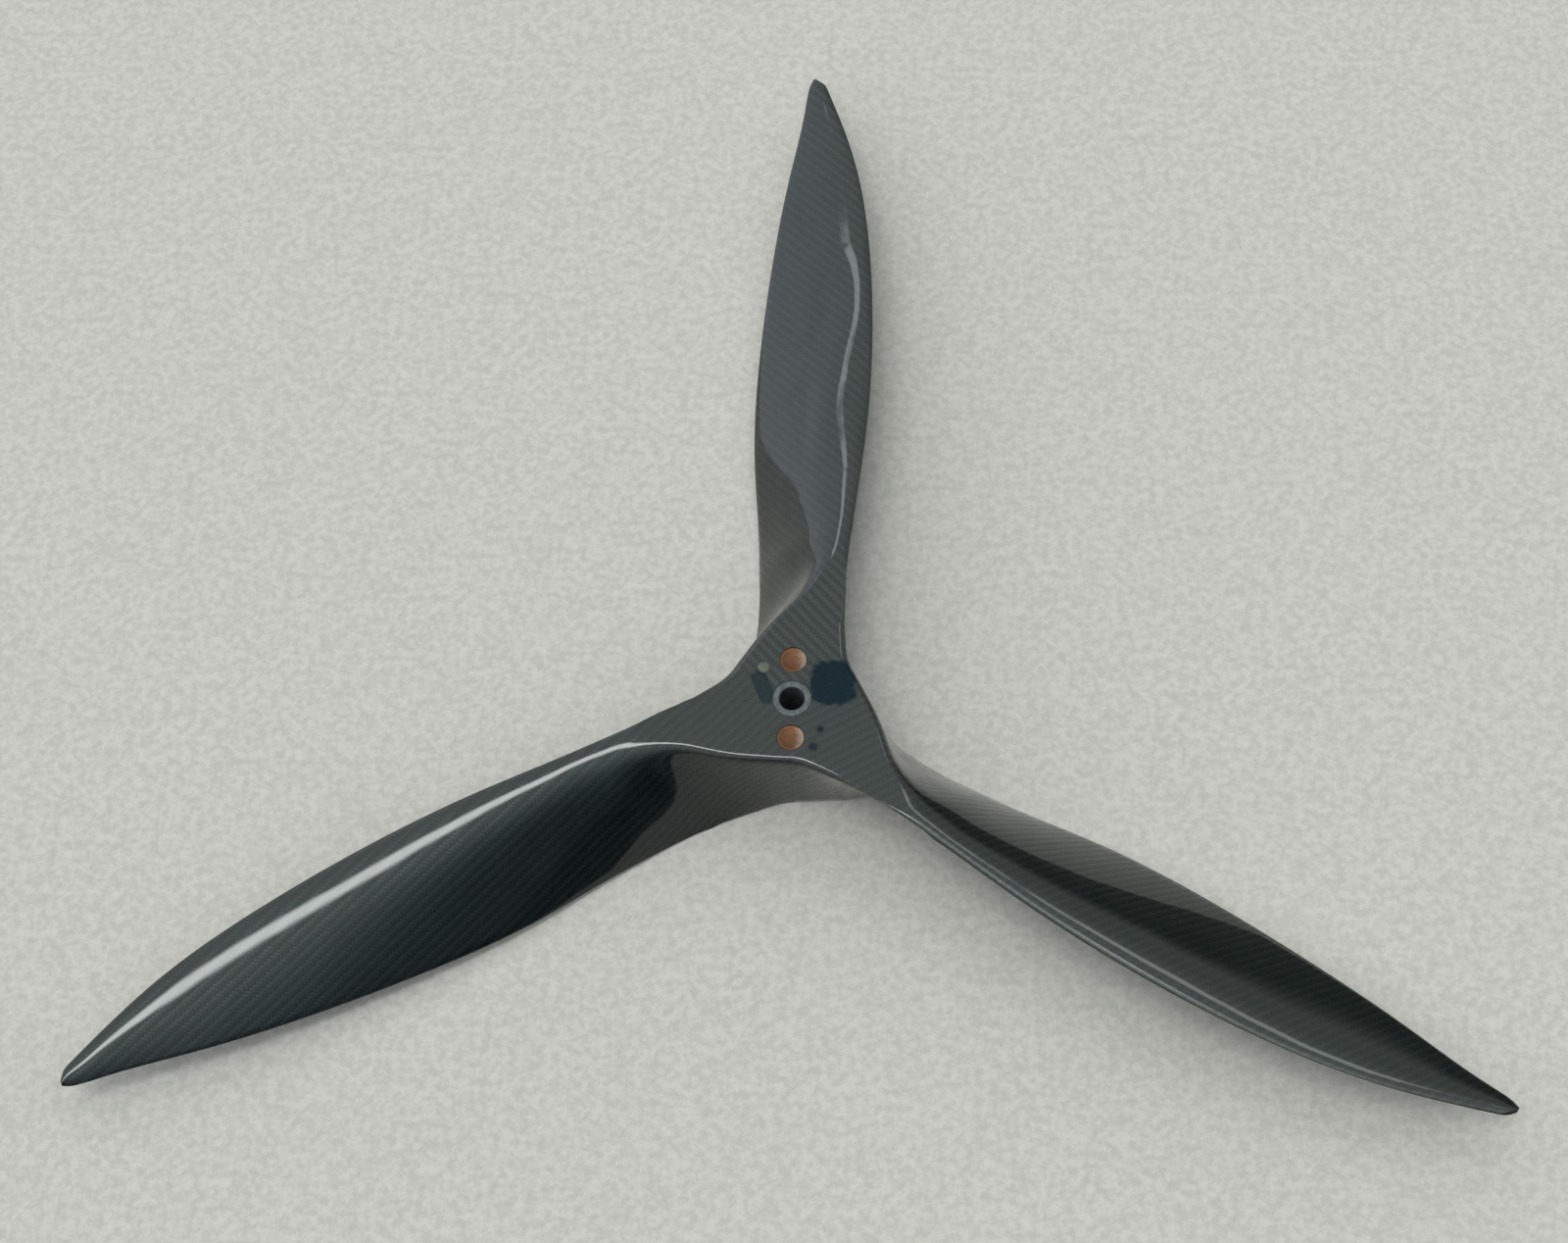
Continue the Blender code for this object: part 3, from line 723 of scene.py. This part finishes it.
class Nodes:
    """Short calls for building the nodes of a material, or of the world."""

    def __init__(self, name, world=False):
        self.material = bpy.data.worlds.new(name) if world else bpy.data.materials.new(name)
        self.material.use_nodes = True
        self.tree = self.material.node_tree
        self.shader = self.tree.nodes["Background" if world else "Principled BSDF"]

    def add(self, kind, **settings):
        node = self.tree.nodes.new(kind)
        for key, value in settings.items():
            setattr(node, key, value)
        return node

    def put(self, socket, value):
        if isinstance(value, bpy.types.NodeSocket):
            self.tree.links.new(value, socket)
        elif value is not None:
            socket.default_value = value

    def math(self, operation, a, b=None, c=None):
        node = self.add("ShaderNodeMath", operation=operation)
        for socket, value in zip(node.inputs, (a, b, c)):
            self.put(socket, value)
        return node.outputs[0]

    def blend(self, share, a, b):
        node = self.add("ShaderNodeMix", data_type="RGBA")
        self.put(node.inputs[0], share)
        self.put(node.inputs[6], a)
        self.put(node.inputs[7], b)
        return node.outputs[2]

    def mix(self, share, a, b):
        node = self.add("ShaderNodeMix", data_type="FLOAT")
        self.put(node.inputs[0], share)
        self.put(node.inputs[2], a)
        self.put(node.inputs[3], b)
        return node.outputs[0]

    def ramp(self, value, low, high, to_low=0.0, to_high=1.0):
        node = self.add("ShaderNodeMapRange", interpolation_type="SMOOTHSTEP")
        for socket, given in zip(node.inputs, (value, low, high, to_low, to_high)):
            self.put(socket, given)
        return node.outputs[0]

    def noise(self, vector, scale, detail=3.0, roughness=0.55):
        node = self.add("ShaderNodeTexNoise")
        self.put(node.inputs["Vector"], vector)
        node.inputs["Scale"].default_value = scale
        node.inputs["Detail"].default_value = detail
        node.inputs["Roughness"].default_value = roughness
        return node.outputs["Fac"]

    def combine(self, x, y, z=0.0):
        node = self.add("ShaderNodeCombineXYZ")
        for socket, value in zip(node.inputs, (x, y, z)):
            self.put(socket, value)
        return node.outputs[0]

    def separate(self, vector):
        node = self.add("ShaderNodeSeparateXYZ")
        self.put(node.inputs[0], vector)
        return node.outputs

    def distance(self, x, y):
        squares = self.math("ADD", self.math("MULTIPLY", x, x), self.math("MULTIPLY", y, y))
        return self.math("SQRT", squares)

    def rotated(self, x, y, angle):
        """The same place along and across a direction at this angle."""
        cosine, sine = math.cos(angle), math.sin(angle)
        along = self.math("ADD", self.math("MULTIPLY", x, cosine), self.math("MULTIPLY", y, sine))
        across = self.math("MULTIPLY", y, cosine)
        across = self.math("SUBTRACT", across, self.math("MULTIPLY", x, sine))
        return along, across

    def position(self):
        """The point on the object, in millimetres."""
        source = self.add("ShaderNodeTexCoord").outputs["Object"]
        scaled = self.add("ShaderNodeVectorMath", operation="SCALE")
        self.put(scaled.inputs[0], source)
        scaled.inputs["Scale"].default_value = 1.0 / MM
        return scaled.outputs[0]

    def bump(self, height, strength, distance, normal=None):
        node = self.add("ShaderNodeBump")
        node.inputs["Strength"].default_value = strength
        node.inputs["Distance"].default_value = distance * MM
        self.put(node.inputs["Height"], height)
        if normal is not None:
            self.put(node.inputs["Normal"], normal)
        return node.outputs[0]

    def set(self, **values):
        for key, value in values.items():
            self.put(self.shader.inputs[key.replace("_", " ")], value)
        return self.material


def twill(nodes, places):
    """Two-over two-under twill: which tow is on top, how high it stands, and its own shade."""
    wander = nodes.noise(places, 0.045, 1.0)
    drift = nodes.math("MULTIPLY_ADD", wander, 1.1, -0.55)
    along, across, _ = nodes.separate(places)
    a = nodes.math("ADD", along, drift)
    b = nodes.math("ADD", across, nodes.math("MULTIPLY", drift, 0.7))
    column, row = nodes.math("FLOOR", a), nodes.math("FLOOR", b)
    warp_run = nodes.math("FLOORED_MODULO", nodes.math("SUBTRACT", a, row), 4.0)
    weft_run = nodes.math("FLOORED_MODULO", nodes.math("SUBTRACT", b, column), 4.0)
    warp = nodes.math("LESS_THAN", warp_run, 2.0)

    def crown(run, middle, width):
        away = nodes.math("SUBTRACT", run, middle)
        rise = nodes.math("COSINE", nodes.math("MULTIPLY", away, math.pi / 2 * 0.86))
        side = nodes.math("SUBTRACT", nodes.math("FRACT", width), 0.5)
        dome = nodes.math("COSINE", nodes.math("MULTIPLY", side, math.pi * 0.9))
        return nodes.math("MULTIPLY", rise, nodes.math("POWER", dome, 0.6))

    warp_height = crown(warp_run, 1.0, b)
    weft_height = crown(weft_run, 2.0, a)
    height = nodes.mix(warp, weft_height, warp_height)
    tow = nodes.mix(warp, column, row)
    chance = nodes.add("ShaderNodeTexWhiteNoise", noise_dimensions="2D")
    nodes.put(chance.inputs["Vector"], nodes.combine(tow, warp))
    strands = nodes.noise(
        nodes.combine(
            nodes.mix(warp, nodes.math("MULTIPLY", a, 9.0), nodes.math("MULTIPLY", a, 0.35)),
            nodes.mix(warp, nodes.math("MULTIPLY", b, 0.35), nodes.math("MULTIPLY", b, 9.0)),
        ),
        1.0, 2.0,
    )
    return warp, height, chance.outputs["Value"], strands


def cloth_material(name, tint, rib_contrast, coat_roughness, print_band):
    """Black twill under clear lacquer."""
    nodes = Nodes(name)
    source = nodes.add("ShaderNodeUVMap", uv_map="cloth").outputs["UV"]
    warp, height, chance, strands = twill(nodes, source)
    place = nodes.position()
    x, y, z = nodes.separate(place)

    cloud = nodes.noise(place, 0.035, 3.0)
    radius = nodes.distance(x, y)
    contrast = nodes.ramp(radius, 30.0, 60.0, min(1.0, rib_contrast * 1.5), rib_contrast)
    side = nodes.math("MULTIPLY_ADD", warp, 2.0, -1.0)
    shade = nodes.math("MULTIPLY_ADD", side, contrast, 1.0)
    shade = nodes.math("MULTIPLY", shade, nodes.mix(chance, 0.86, 1.14))
    shade = nodes.math("MULTIPLY", shade, nodes.mix(nodes.ramp(strands, 0.3, 0.7), 0.86, 1.12))
    # Painted shade: darker where the tow stands low, in the dips between tows.
    shade = nodes.math("MULTIPLY", shade, nodes.ramp(height, 0.0, 0.75, 0.62, 1.04))
    shade = nodes.math("MULTIPLY", shade, nodes.ramp(cloud, 0.3, 0.7, 0.88, 1.12))
    color = nodes.blend(
        nodes.math("SUBTRACT", shade, 0.45),
        tuple(0.45 * c for c in tint) + (1.0,),
        tuple(1.45 * c for c in tint) + (1.0,),
    )
    metallic = 0.85
    lacquered = 1.0
    shine = 0.5
    if print_band:
        band = printed_band(nodes, x, y, z, place)
        color = nodes.blend(band, color, (0.0065, 0.0175, 0.0235, 1.0))
        metallic = nodes.mix(band, metallic, 0.0)
        lacquered = nodes.mix(band, lacquered, 0.0)
        shine = nodes.mix(band, shine, 0.0)
        color, filled = drilling_marks(nodes, x, y, z, color)
        lacquered = nodes.mix(filled, lacquered, 0.25)
    dust = nodes.noise(place, 1.4, 2.0, 0.7)
    dust = nodes.ramp(dust, 0.70, 0.80)
    grime = nodes.noise(place, 0.11, 4.0, 0.6)
    nose, on_wing, _ = nodes.separate(nodes.add("ShaderNodeUVMap", uv_map="nose").outputs["UV"])
    worn_nose_and_highlight_side = nodes.ramp(nose, 0.9, 2.0, 1.0, 0.0)
    worn_nose_and_highlight_side = nodes.math("MULTIPLY", worn_nose_and_highlight_side, nodes.ramp(on_wing, 0.3, 0.9))
    gloss = nodes.ramp(grime, 0.3, 0.75, coat_roughness, coat_roughness + 0.035)
    gloss = nodes.mix(dust, gloss, 0.22)

    tangent = nodes.add("ShaderNodeTangent", direction_type="UV_MAP", uv_map="cloth").outputs[0]
    ripple = nodes.noise(place, 0.06, 1.0)
    lacquer = nodes.bump(ripple, 0.35, 0.35)
    if print_band:
        lacquer = nodes.bump(lacquer_wave(nodes, x, y), 1.0, 1.0, lacquer)
    lacquer = nodes.bump(nodes.noise(place, 0.9, 2.0), 0.10, 0.02, lacquer)
    fibre = nodes.bump(nodes.math("MULTIPLY_ADD", strands, 0.25, height), 0.55, 0.10)
    return nodes.set(
        Base_Color=color,
        Metallic=metallic,
        Roughness=nodes.mix(nodes.ramp(grime, 0.35, 0.7), 0.36, 0.46),
        Anisotropic=0.75,
        Anisotropic_Rotation=nodes.mix(warp, 0.25, 0.0),
        Tangent=tangent,
        Normal=fibre,
        Specular_IOR_Level=shine,
        Coat_Weight=lacquered,
        Coat_IOR=1.5,
        Coat_Roughness=nodes.mix(worn_nose_and_highlight_side, gloss, 0.42),
        Coat_Normal=lacquer,
    )


def lacquer_wave(nodes, x, y):
    """One slow swell in the lacquer of the first blade, near its leading edge: height in mm."""
    start, length = LACQUER_WAVE_START, LACQUER_WAVE_LENGTH
    turn = nodes.math("MULTIPLY", nodes.math("SUBTRACT", y, start), 2 * math.pi / length)
    turn = nodes.math("MINIMUM", nodes.math("MAXIMUM", turn, 0.0), 2 * math.pi)
    across = nodes.math("SUBTRACT", x, LACQUER_WAVE_ACROSS)
    near = nodes.ramp(nodes.math("ABSOLUTE", across), 5.0, 14.0, 1.0, 0.0)
    slope = nodes.math("MULTIPLY", nodes.math("SINE", turn), -LACQUER_WAVE_SLOPE)
    return nodes.math("MULTIPLY", nodes.math("MULTIPLY", slope, across), near)


def on_hub_face(nodes, z):
    """Where a point lies on the hub's flat front face."""
    return nodes.ramp(z, HUB_HALF_HEIGHT - 0.6, HUB_HALF_HEIGHT - 0.3)


def printed_band(nodes, x, y, z, place):
    """A plain dark blue field printed on the hub beside the bore, and a smaller one opposite."""
    rough = nodes.math("MULTIPLY_ADD", nodes.noise(place, 0.42, 4.0, 0.62), 4.4, -2.2)

    def field(middle_x, middle_y, half_x, half_y, lean):
        a = math.radians(lean)
        dx, dy = nodes.math("SUBTRACT", x, middle_x), nodes.math("SUBTRACT", y, middle_y)
        u, v = nodes.rotated(dx, dy, a)
        u = nodes.math("DIVIDE", nodes.math("ABSOLUTE", u), half_x)
        v = nodes.math("DIVIDE", nodes.math("ABSOLUTE", v), half_y)
        away = nodes.math("ADD", nodes.math("POWER", u, 4.0), nodes.math("POWER", v, 4.0))
        away = nodes.math("MULTIPLY_ADD", rough, 0.42, away)
        return nodes.ramp(away, 0.5, 1.4, 1.0, 0.0)

    beside = field(13.0, 5.6, 7.6, 8.0, 0.0)
    opposite = nodes.math("MULTIPLY", field(-9.3, 3.8, 2.7, 6.6, 24.0), 0.8)
    marks = nodes.math("MAXIMUM", beside, opposite)
    on_face = on_hub_face(nodes, z)
    worn = nodes.ramp(nodes.noise(place, 0.8, 4.0, 0.7), 0.26, 0.42)
    marks = nodes.math("MULTIPLY", marks, on_face)
    return nodes.math("MULTIPLY", marks, nodes.mix(worn, 0.6, 0.95))


def drilling_marks(nodes, x, y, z, color):
    """Small round marks on the hub, each in a dark ring: the new colour, and where they lie."""
    on_face = on_hub_face(nodes, z)
    filled = 0.0
    for mark_x, mark_y, radius, tone in DRILLING_MARKS:
        dx, dy = nodes.math("SUBTRACT", x, mark_x), nodes.math("SUBTRACT", y, mark_y)
        away = nodes.distance(dx, dy)
        ring = nodes.ramp(away, radius + 0.5, radius + 1.3, 1.0, 0.0)
        ring = nodes.math("MULTIPLY", ring, on_face)
        spot = nodes.ramp(away, radius - 0.6, radius + 0.4, 1.0, 0.0)
        spot = nodes.math("MULTIPLY", spot, on_face)
        color = nodes.blend(nodes.math("MULTIPLY", ring, 0.6), color, (0.004, 0.006, 0.008, 1.0))
        color = nodes.blend(spot, color, tone)
        filled = nodes.math("MAXIMUM", filled, spot)
    return color, filled


def bush_material():
    """Dull grey turned sleeve, a little stained."""
    nodes = Nodes("bush_metal")
    place = nodes.position()
    x, y, z = nodes.separate(place)
    stain = nodes.noise(place, 0.55, 4.0, 0.65)
    stained = nodes.ramp(stain, 0.3, 0.7)
    color = nodes.blend(stained, (0.055, 0.064, 0.066, 1.0), (0.115, 0.13, 0.135, 1.0))
    radius = nodes.math("MULTIPLY", nodes.distance(x, y), 7.0)
    grooves = nodes.noise(nodes.combine(radius, nodes.math("MULTIPLY", z, 2.0)), 1.0, 2.0)
    return nodes.set(
        Base_Color=color,
        Metallic=0.55,
        Roughness=nodes.ramp(stain, 0.3, 0.7, 0.42, 0.58),
        Normal=nodes.bump(grooves, 0.35, 0.03),
    )


def copper_material():
    """Copper, browned, with a painted highlight that makes one side of each plug pale."""
    nodes = Nodes("plug_copper")
    place = nodes.position()
    x = nodes.separate(place)[0]
    patch = nodes.noise(place, 0.5, 3.0, 0.6)
    fine = nodes.noise(place, 2.4, 3.0, 0.6)
    # Painted highlight: each plug turns pale towards its +x side.
    worn_nose_and_highlight_side = nodes.ramp(nodes.math("MULTIPLY_ADD", patch, 4.0, x), 2.6, 6.0)
    color = nodes.blend(worn_nose_and_highlight_side, (0.135, 0.062, 0.032, 1.0), (0.27, 0.205, 0.16, 1.0))
    color = nodes.blend(nodes.ramp(fine, 0.45, 0.75, 0.0, 0.45), color, (0.08, 0.045, 0.028, 1.0))
    return nodes.set(
        Base_Color=color,
        Metallic=0.6,
        Specular_IOR_Level=0.2,
        Roughness=nodes.ramp(fine, 0.3, 0.7, 0.42, 0.6),
        Normal=nodes.bump(fine, 0.3, 0.05),
    )


def strand_material(name, dark, light, tone):
    """Bare fibre bundles, streaked along their length."""
    nodes = Nodes(name)
    place = nodes.position()
    streak = nodes.noise(place, 1.6, 4.0, 0.7)
    broad = nodes.noise(place, 0.15, 2.0)
    color = nodes.blend(nodes.ramp(streak, 0.3, 0.7), dark + (1.0,), light + (1.0,))
    return nodes.set(
        Base_Color=color,
        Roughness=nodes.ramp(broad, 0.3, 0.7, tone, tone + 0.12),
        Specular_IOR_Level=0.6,
        Normal=nodes.bump(streak, 0.5, 0.08),
    )


def foam_material():
    """Closed-cell foam: fine cells, slightly uneven in tone."""
    nodes = Nodes("core_foam")
    place = nodes.position()
    cells = nodes.add("ShaderNodeTexVoronoi", feature="DISTANCE_TO_EDGE")
    nodes.put(cells.inputs["Vector"], place)
    cells.inputs["Scale"].default_value = 2.2
    wall = nodes.ramp(cells.outputs["Distance"], 0.0, 0.18)
    cloud = nodes.noise(place, 0.2, 3.0)
    color = nodes.blend(wall, (0.80, 0.75, 0.60, 1.0), (0.62, 0.55, 0.38, 1.0))
    color = nodes.blend(nodes.ramp(cloud, 0.3, 0.7, 0.0, 0.35), color, (0.88, 0.84, 0.72, 1.0))
    return nodes.set(
        Base_Color=color,
        Roughness=nodes.ramp(cloud, 0.3, 0.7, 0.78, 0.92),
        Normal=nodes.bump(wall, 0.6, 0.15),
    )


def filler_material():
    """Chopped fibre in resin: short strands lying every way."""
    nodes = Nodes("hub_filler")
    place = nodes.position()
    flakes = nodes.add("ShaderNodeTexVoronoi", feature="F1")
    nodes.put(flakes.inputs["Vector"], place)
    flakes.inputs["Scale"].default_value = 0.45
    streak = nodes.noise(place, 2.2, 3.0, 0.65)
    flake = nodes.separate(flakes.outputs["Color"])[0]
    tone = nodes.math("MULTIPLY", flake, nodes.ramp(streak, 0.3, 0.7, 0.6, 1.0))
    color = nodes.blend(tone, (0.012, 0.012, 0.013, 1.0), (0.075, 0.072, 0.066, 1.0))
    return nodes.set(
        Base_Color=color,
        Roughness=nodes.ramp(streak, 0.3, 0.7, 0.42, 0.62),
        Normal=nodes.bump(streak, 0.4, 0.08),
    )


def dress_inner_nodes(nodes_by_name):
    """Materials for the CAD pieces that stay: what fills the blades and the hub."""
    foam = foam_material()
    roving = strand_material("spar_roving", (0.010, 0.010, 0.011), (0.040, 0.040, 0.042), 0.42)
    tow = strand_material("edge_tow", (0.014, 0.014, 0.015), (0.050, 0.050, 0.052), 0.36)
    filler = filler_material()
    kinds = (
        ("leading_core", foam),
        ("trailing_core", foam),
        ("spar", roving),
        ("leading_tow", tow),
        ("hub_core", filler),
    )
    for name, thing in nodes_by_name.items():
        for start, material in kinds:
            if name.startswith(start):
                for place in thing.material_slots:
                    place.material = material


def view_directions():
    """The camera's right, up and backward directions in the part's frame."""
    e = math.radians(VIEW_ELEVATION)
    back = Vector((0.0, -math.cos(e), math.sin(e)))
    right = Vector((1.0, 0.0, 0.0))
    up = back.cross(right)
    roll = math.radians(VIEW_ROLL)
    x = right * math.cos(roll) + up * math.sin(roll)
    y = -right * math.sin(roll) + up * math.cos(roll)
    turn = Matrix.Rotation(math.radians(VIEW_TURN), 3, "Z")
    return turn @ x, turn @ y, turn @ back, turn


def build_camera():
    x, y, back, turn = view_directions()
    aim = turn @ (Vector(VIEW_AIM) * MM)
    place = aim + back * VIEW_DISTANCE * MM
    data = bpy.data.cameras.new("view")
    data.lens = LENS
    data.sensor_width = SENSOR
    camera = bpy.data.objects.new("view", data)
    bpy.context.scene.collection.objects.link(camera)
    camera.matrix_world = Matrix((
        (x.x, y.x, back.x, place.x),
        (x.y, y.y, back.y, place.y),
        (x.z, y.z, back.z, place.z),
        (0.0, 0.0, 0.0, 1.0),
    ))
    bpy.context.scene.camera = camera


def build_floor():
    half = 6.0
    floor = mesh_object(
        "floor",
        [(-half, -half, FLOOR_HEIGHT * MM), (half, -half, FLOOR_HEIGHT * MM),
         (half, half, FLOOR_HEIGHT * MM), (-half, half, FLOOR_HEIGHT * MM)],
        [(0, 1, 2, 3)],
    )
    nodes = Nodes("pale_floor")
    place = nodes.position()
    grain = nodes.noise(place, 0.36, 3.0, 0.65)
    speckle = nodes.ramp(grain, 0.3, 0.7)
    color = nodes.blend(speckle, (0.430, 0.415, 0.385, 1.0), (0.528, 0.511, 0.475, 1.0))
    path = nodes.add("ShaderNodeLightPath").outputs
    first_bounce = nodes.math("LESS_THAN", path["Ray Depth"], 1.5)
    reflected = nodes.math("MULTIPLY", path["Is Glossy Ray"], first_bounce)
    # Painted reflection: for first glossy bounces only, the floor in front of the propeller is
    # painted dark.
    beyond_reflection_start = nodes.ramp(nodes.separate(place)[1], -REFLECTION_DARK_END, -REFLECTION_DARK_START, 1.0, 0.0)
    painted_dark_reflection = nodes.math("MULTIPLY", reflected, beyond_reflection_start)
    color = nodes.blend(painted_dark_reflection, color, (0.02, 0.03, 0.035, 1.0))
    nodes.set(Base_Color=color, Roughness=0.9, Specular_IOR_Level=0.2)
    output = nodes.tree.nodes["Material Output"]
    clear = nodes.add("ShaderNodeBsdfTransparent").outputs[0]
    under = nodes.add("ShaderNodeNewGeometry").outputs["Backfacing"]
    either = nodes.add("ShaderNodeMixShader")
    nodes.put(either.inputs[0], under)
    nodes.put(either.inputs[1], nodes.shader.outputs[0])
    nodes.put(either.inputs[2], clear)
    nodes.put(output.inputs["Surface"], either.outputs[0])
    floor.data.materials.append(nodes.material)


def build_light():
    """A soft studio: even sky, darker on the camera's side, with one long lamp and two short ones.

    Places on the ceiling are measured sideways and away from the camera, in room heights.
    """
    nodes = Nodes("studio", world=True)
    turn = nodes.add("ShaderNodeVectorRotate", rotation_type="Z_AXIS", invert=True)
    nodes.put(turn.inputs["Vector"], nodes.add("ShaderNodeTexCoord").outputs["Generated"])
    turn.inputs["Angle"].default_value = math.radians(VIEW_TURN)
    right, away, up = nodes.separate(turn.outputs[0])
    height = nodes.math("MAXIMUM", up, 0.02)
    over_x, over_y = nodes.math("DIVIDE", right, height), nodes.math("DIVIDE", away, height)

    def toward(azimuth, elevation):
        """How nearly a direction points at this azimuth, from away towards left, and elevation."""
        a, e = math.radians(azimuth), math.radians(elevation)
        total = nodes.math("MULTIPLY", right, -math.sin(a) * math.cos(e))
        total = nodes.math("MULTIPLY_ADD", away, math.cos(a) * math.cos(e), total)
        return nodes.math("MULTIPLY_ADD", up, math.sin(e), total)

    def lamp(center, heading, half_length, half_width, soft):
        """A straight lamp on the ceiling, with soft edges."""
        a = math.radians(heading)
        dx = nodes.math("SUBTRACT", over_x, center[0])
        dy = nodes.math("SUBTRACT", over_y, center[1])
        along, across = nodes.rotated(dx, dy, a)
        share = 1.0
        for value, half in ((along, half_length), (across, half_width)):
            inside = nodes.ramp(nodes.math("ABSOLUTE", value), half - soft, half + soft, 1.0, 0.0)
            share = nodes.math("MULTIPLY", inside, share)
        return nodes.math("MULTIPLY", share, nodes.ramp(up, 0.05, 0.1))

    behind = nodes.ramp(toward(-142.0, 22.0), 0.60, 0.95)
    sky = nodes.mix(behind, 1.0, 0.16)
    sky = nodes.math("MULTIPLY", sky, nodes.ramp(toward(-147.0, 4.0), 0.92, 0.98, 1.0, 0.3))
    sky = nodes.math("MULTIPLY", sky, nodes.ramp(toward(180.0, 0.0), 0.80, 0.97, 1.0, 0.3))
    sky = nodes.math("MULTIPLY", sky, nodes.ramp(toward(-26.0, 6.0), 0.60, 0.85, 1.0, 0.58))
    sky = nodes.math("MULTIPLY", sky, nodes.ramp(toward(-30.0, 6.0), 0.92, 0.985, 1.0, 0.07))
    blue = nodes.ramp(toward(45.0, 15.0), 0.75, 0.95)
    sky = nodes.math("MULTIPLY", sky, nodes.mix(blue, 1.0, 1.1))
    color = nodes.blend(blue, (0.95, 0.99, 0.97, 1.0), (0.91, 0.97, 1.06, 1.0))
    color = nodes.blend(behind, color, (0.82, 0.96, 1.18, 1.0))
    total = nodes.math("MULTIPLY", sky, SKY_LEVEL)
    for center, heading, half_length, half_width, soft, level in CEILING_LAMPS:
        share = lamp(center, heading, half_length, half_width, soft)
        total = nodes.math("MULTIPLY_ADD", share, level, total)
    seen = nodes.add("ShaderNodeLightPath").outputs["Is Camera Ray"]
    nodes.set(
        Color=nodes.blend(seen, color, (0.56, 0.57, 0.56, 1.0)),
        Strength=nodes.mix(seen, total, 1.0),
    )
    bpy.context.scene.world = nodes.material
    bpy.context.scene.view_settings.view_transform = "Standard"


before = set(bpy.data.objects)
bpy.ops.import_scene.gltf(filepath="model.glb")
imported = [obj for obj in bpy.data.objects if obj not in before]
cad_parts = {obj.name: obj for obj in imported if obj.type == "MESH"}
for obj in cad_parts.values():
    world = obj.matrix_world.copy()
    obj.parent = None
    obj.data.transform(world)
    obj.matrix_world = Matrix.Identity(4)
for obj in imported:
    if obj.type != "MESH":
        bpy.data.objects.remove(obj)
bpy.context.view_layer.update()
build_skins(
    cloth_material("front_cloth", (0.0075, 0.0150, 0.0140), 0.46, 0.03, True),
    cloth_material("back_cloth", (0.0085, 0.0155, 0.0148), 0.36, 0.06, False),
)
build_bush(bush_material())
build_plugs(copper_material())
dress_inner_nodes(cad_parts)
build_floor()
build_light()
build_camera()
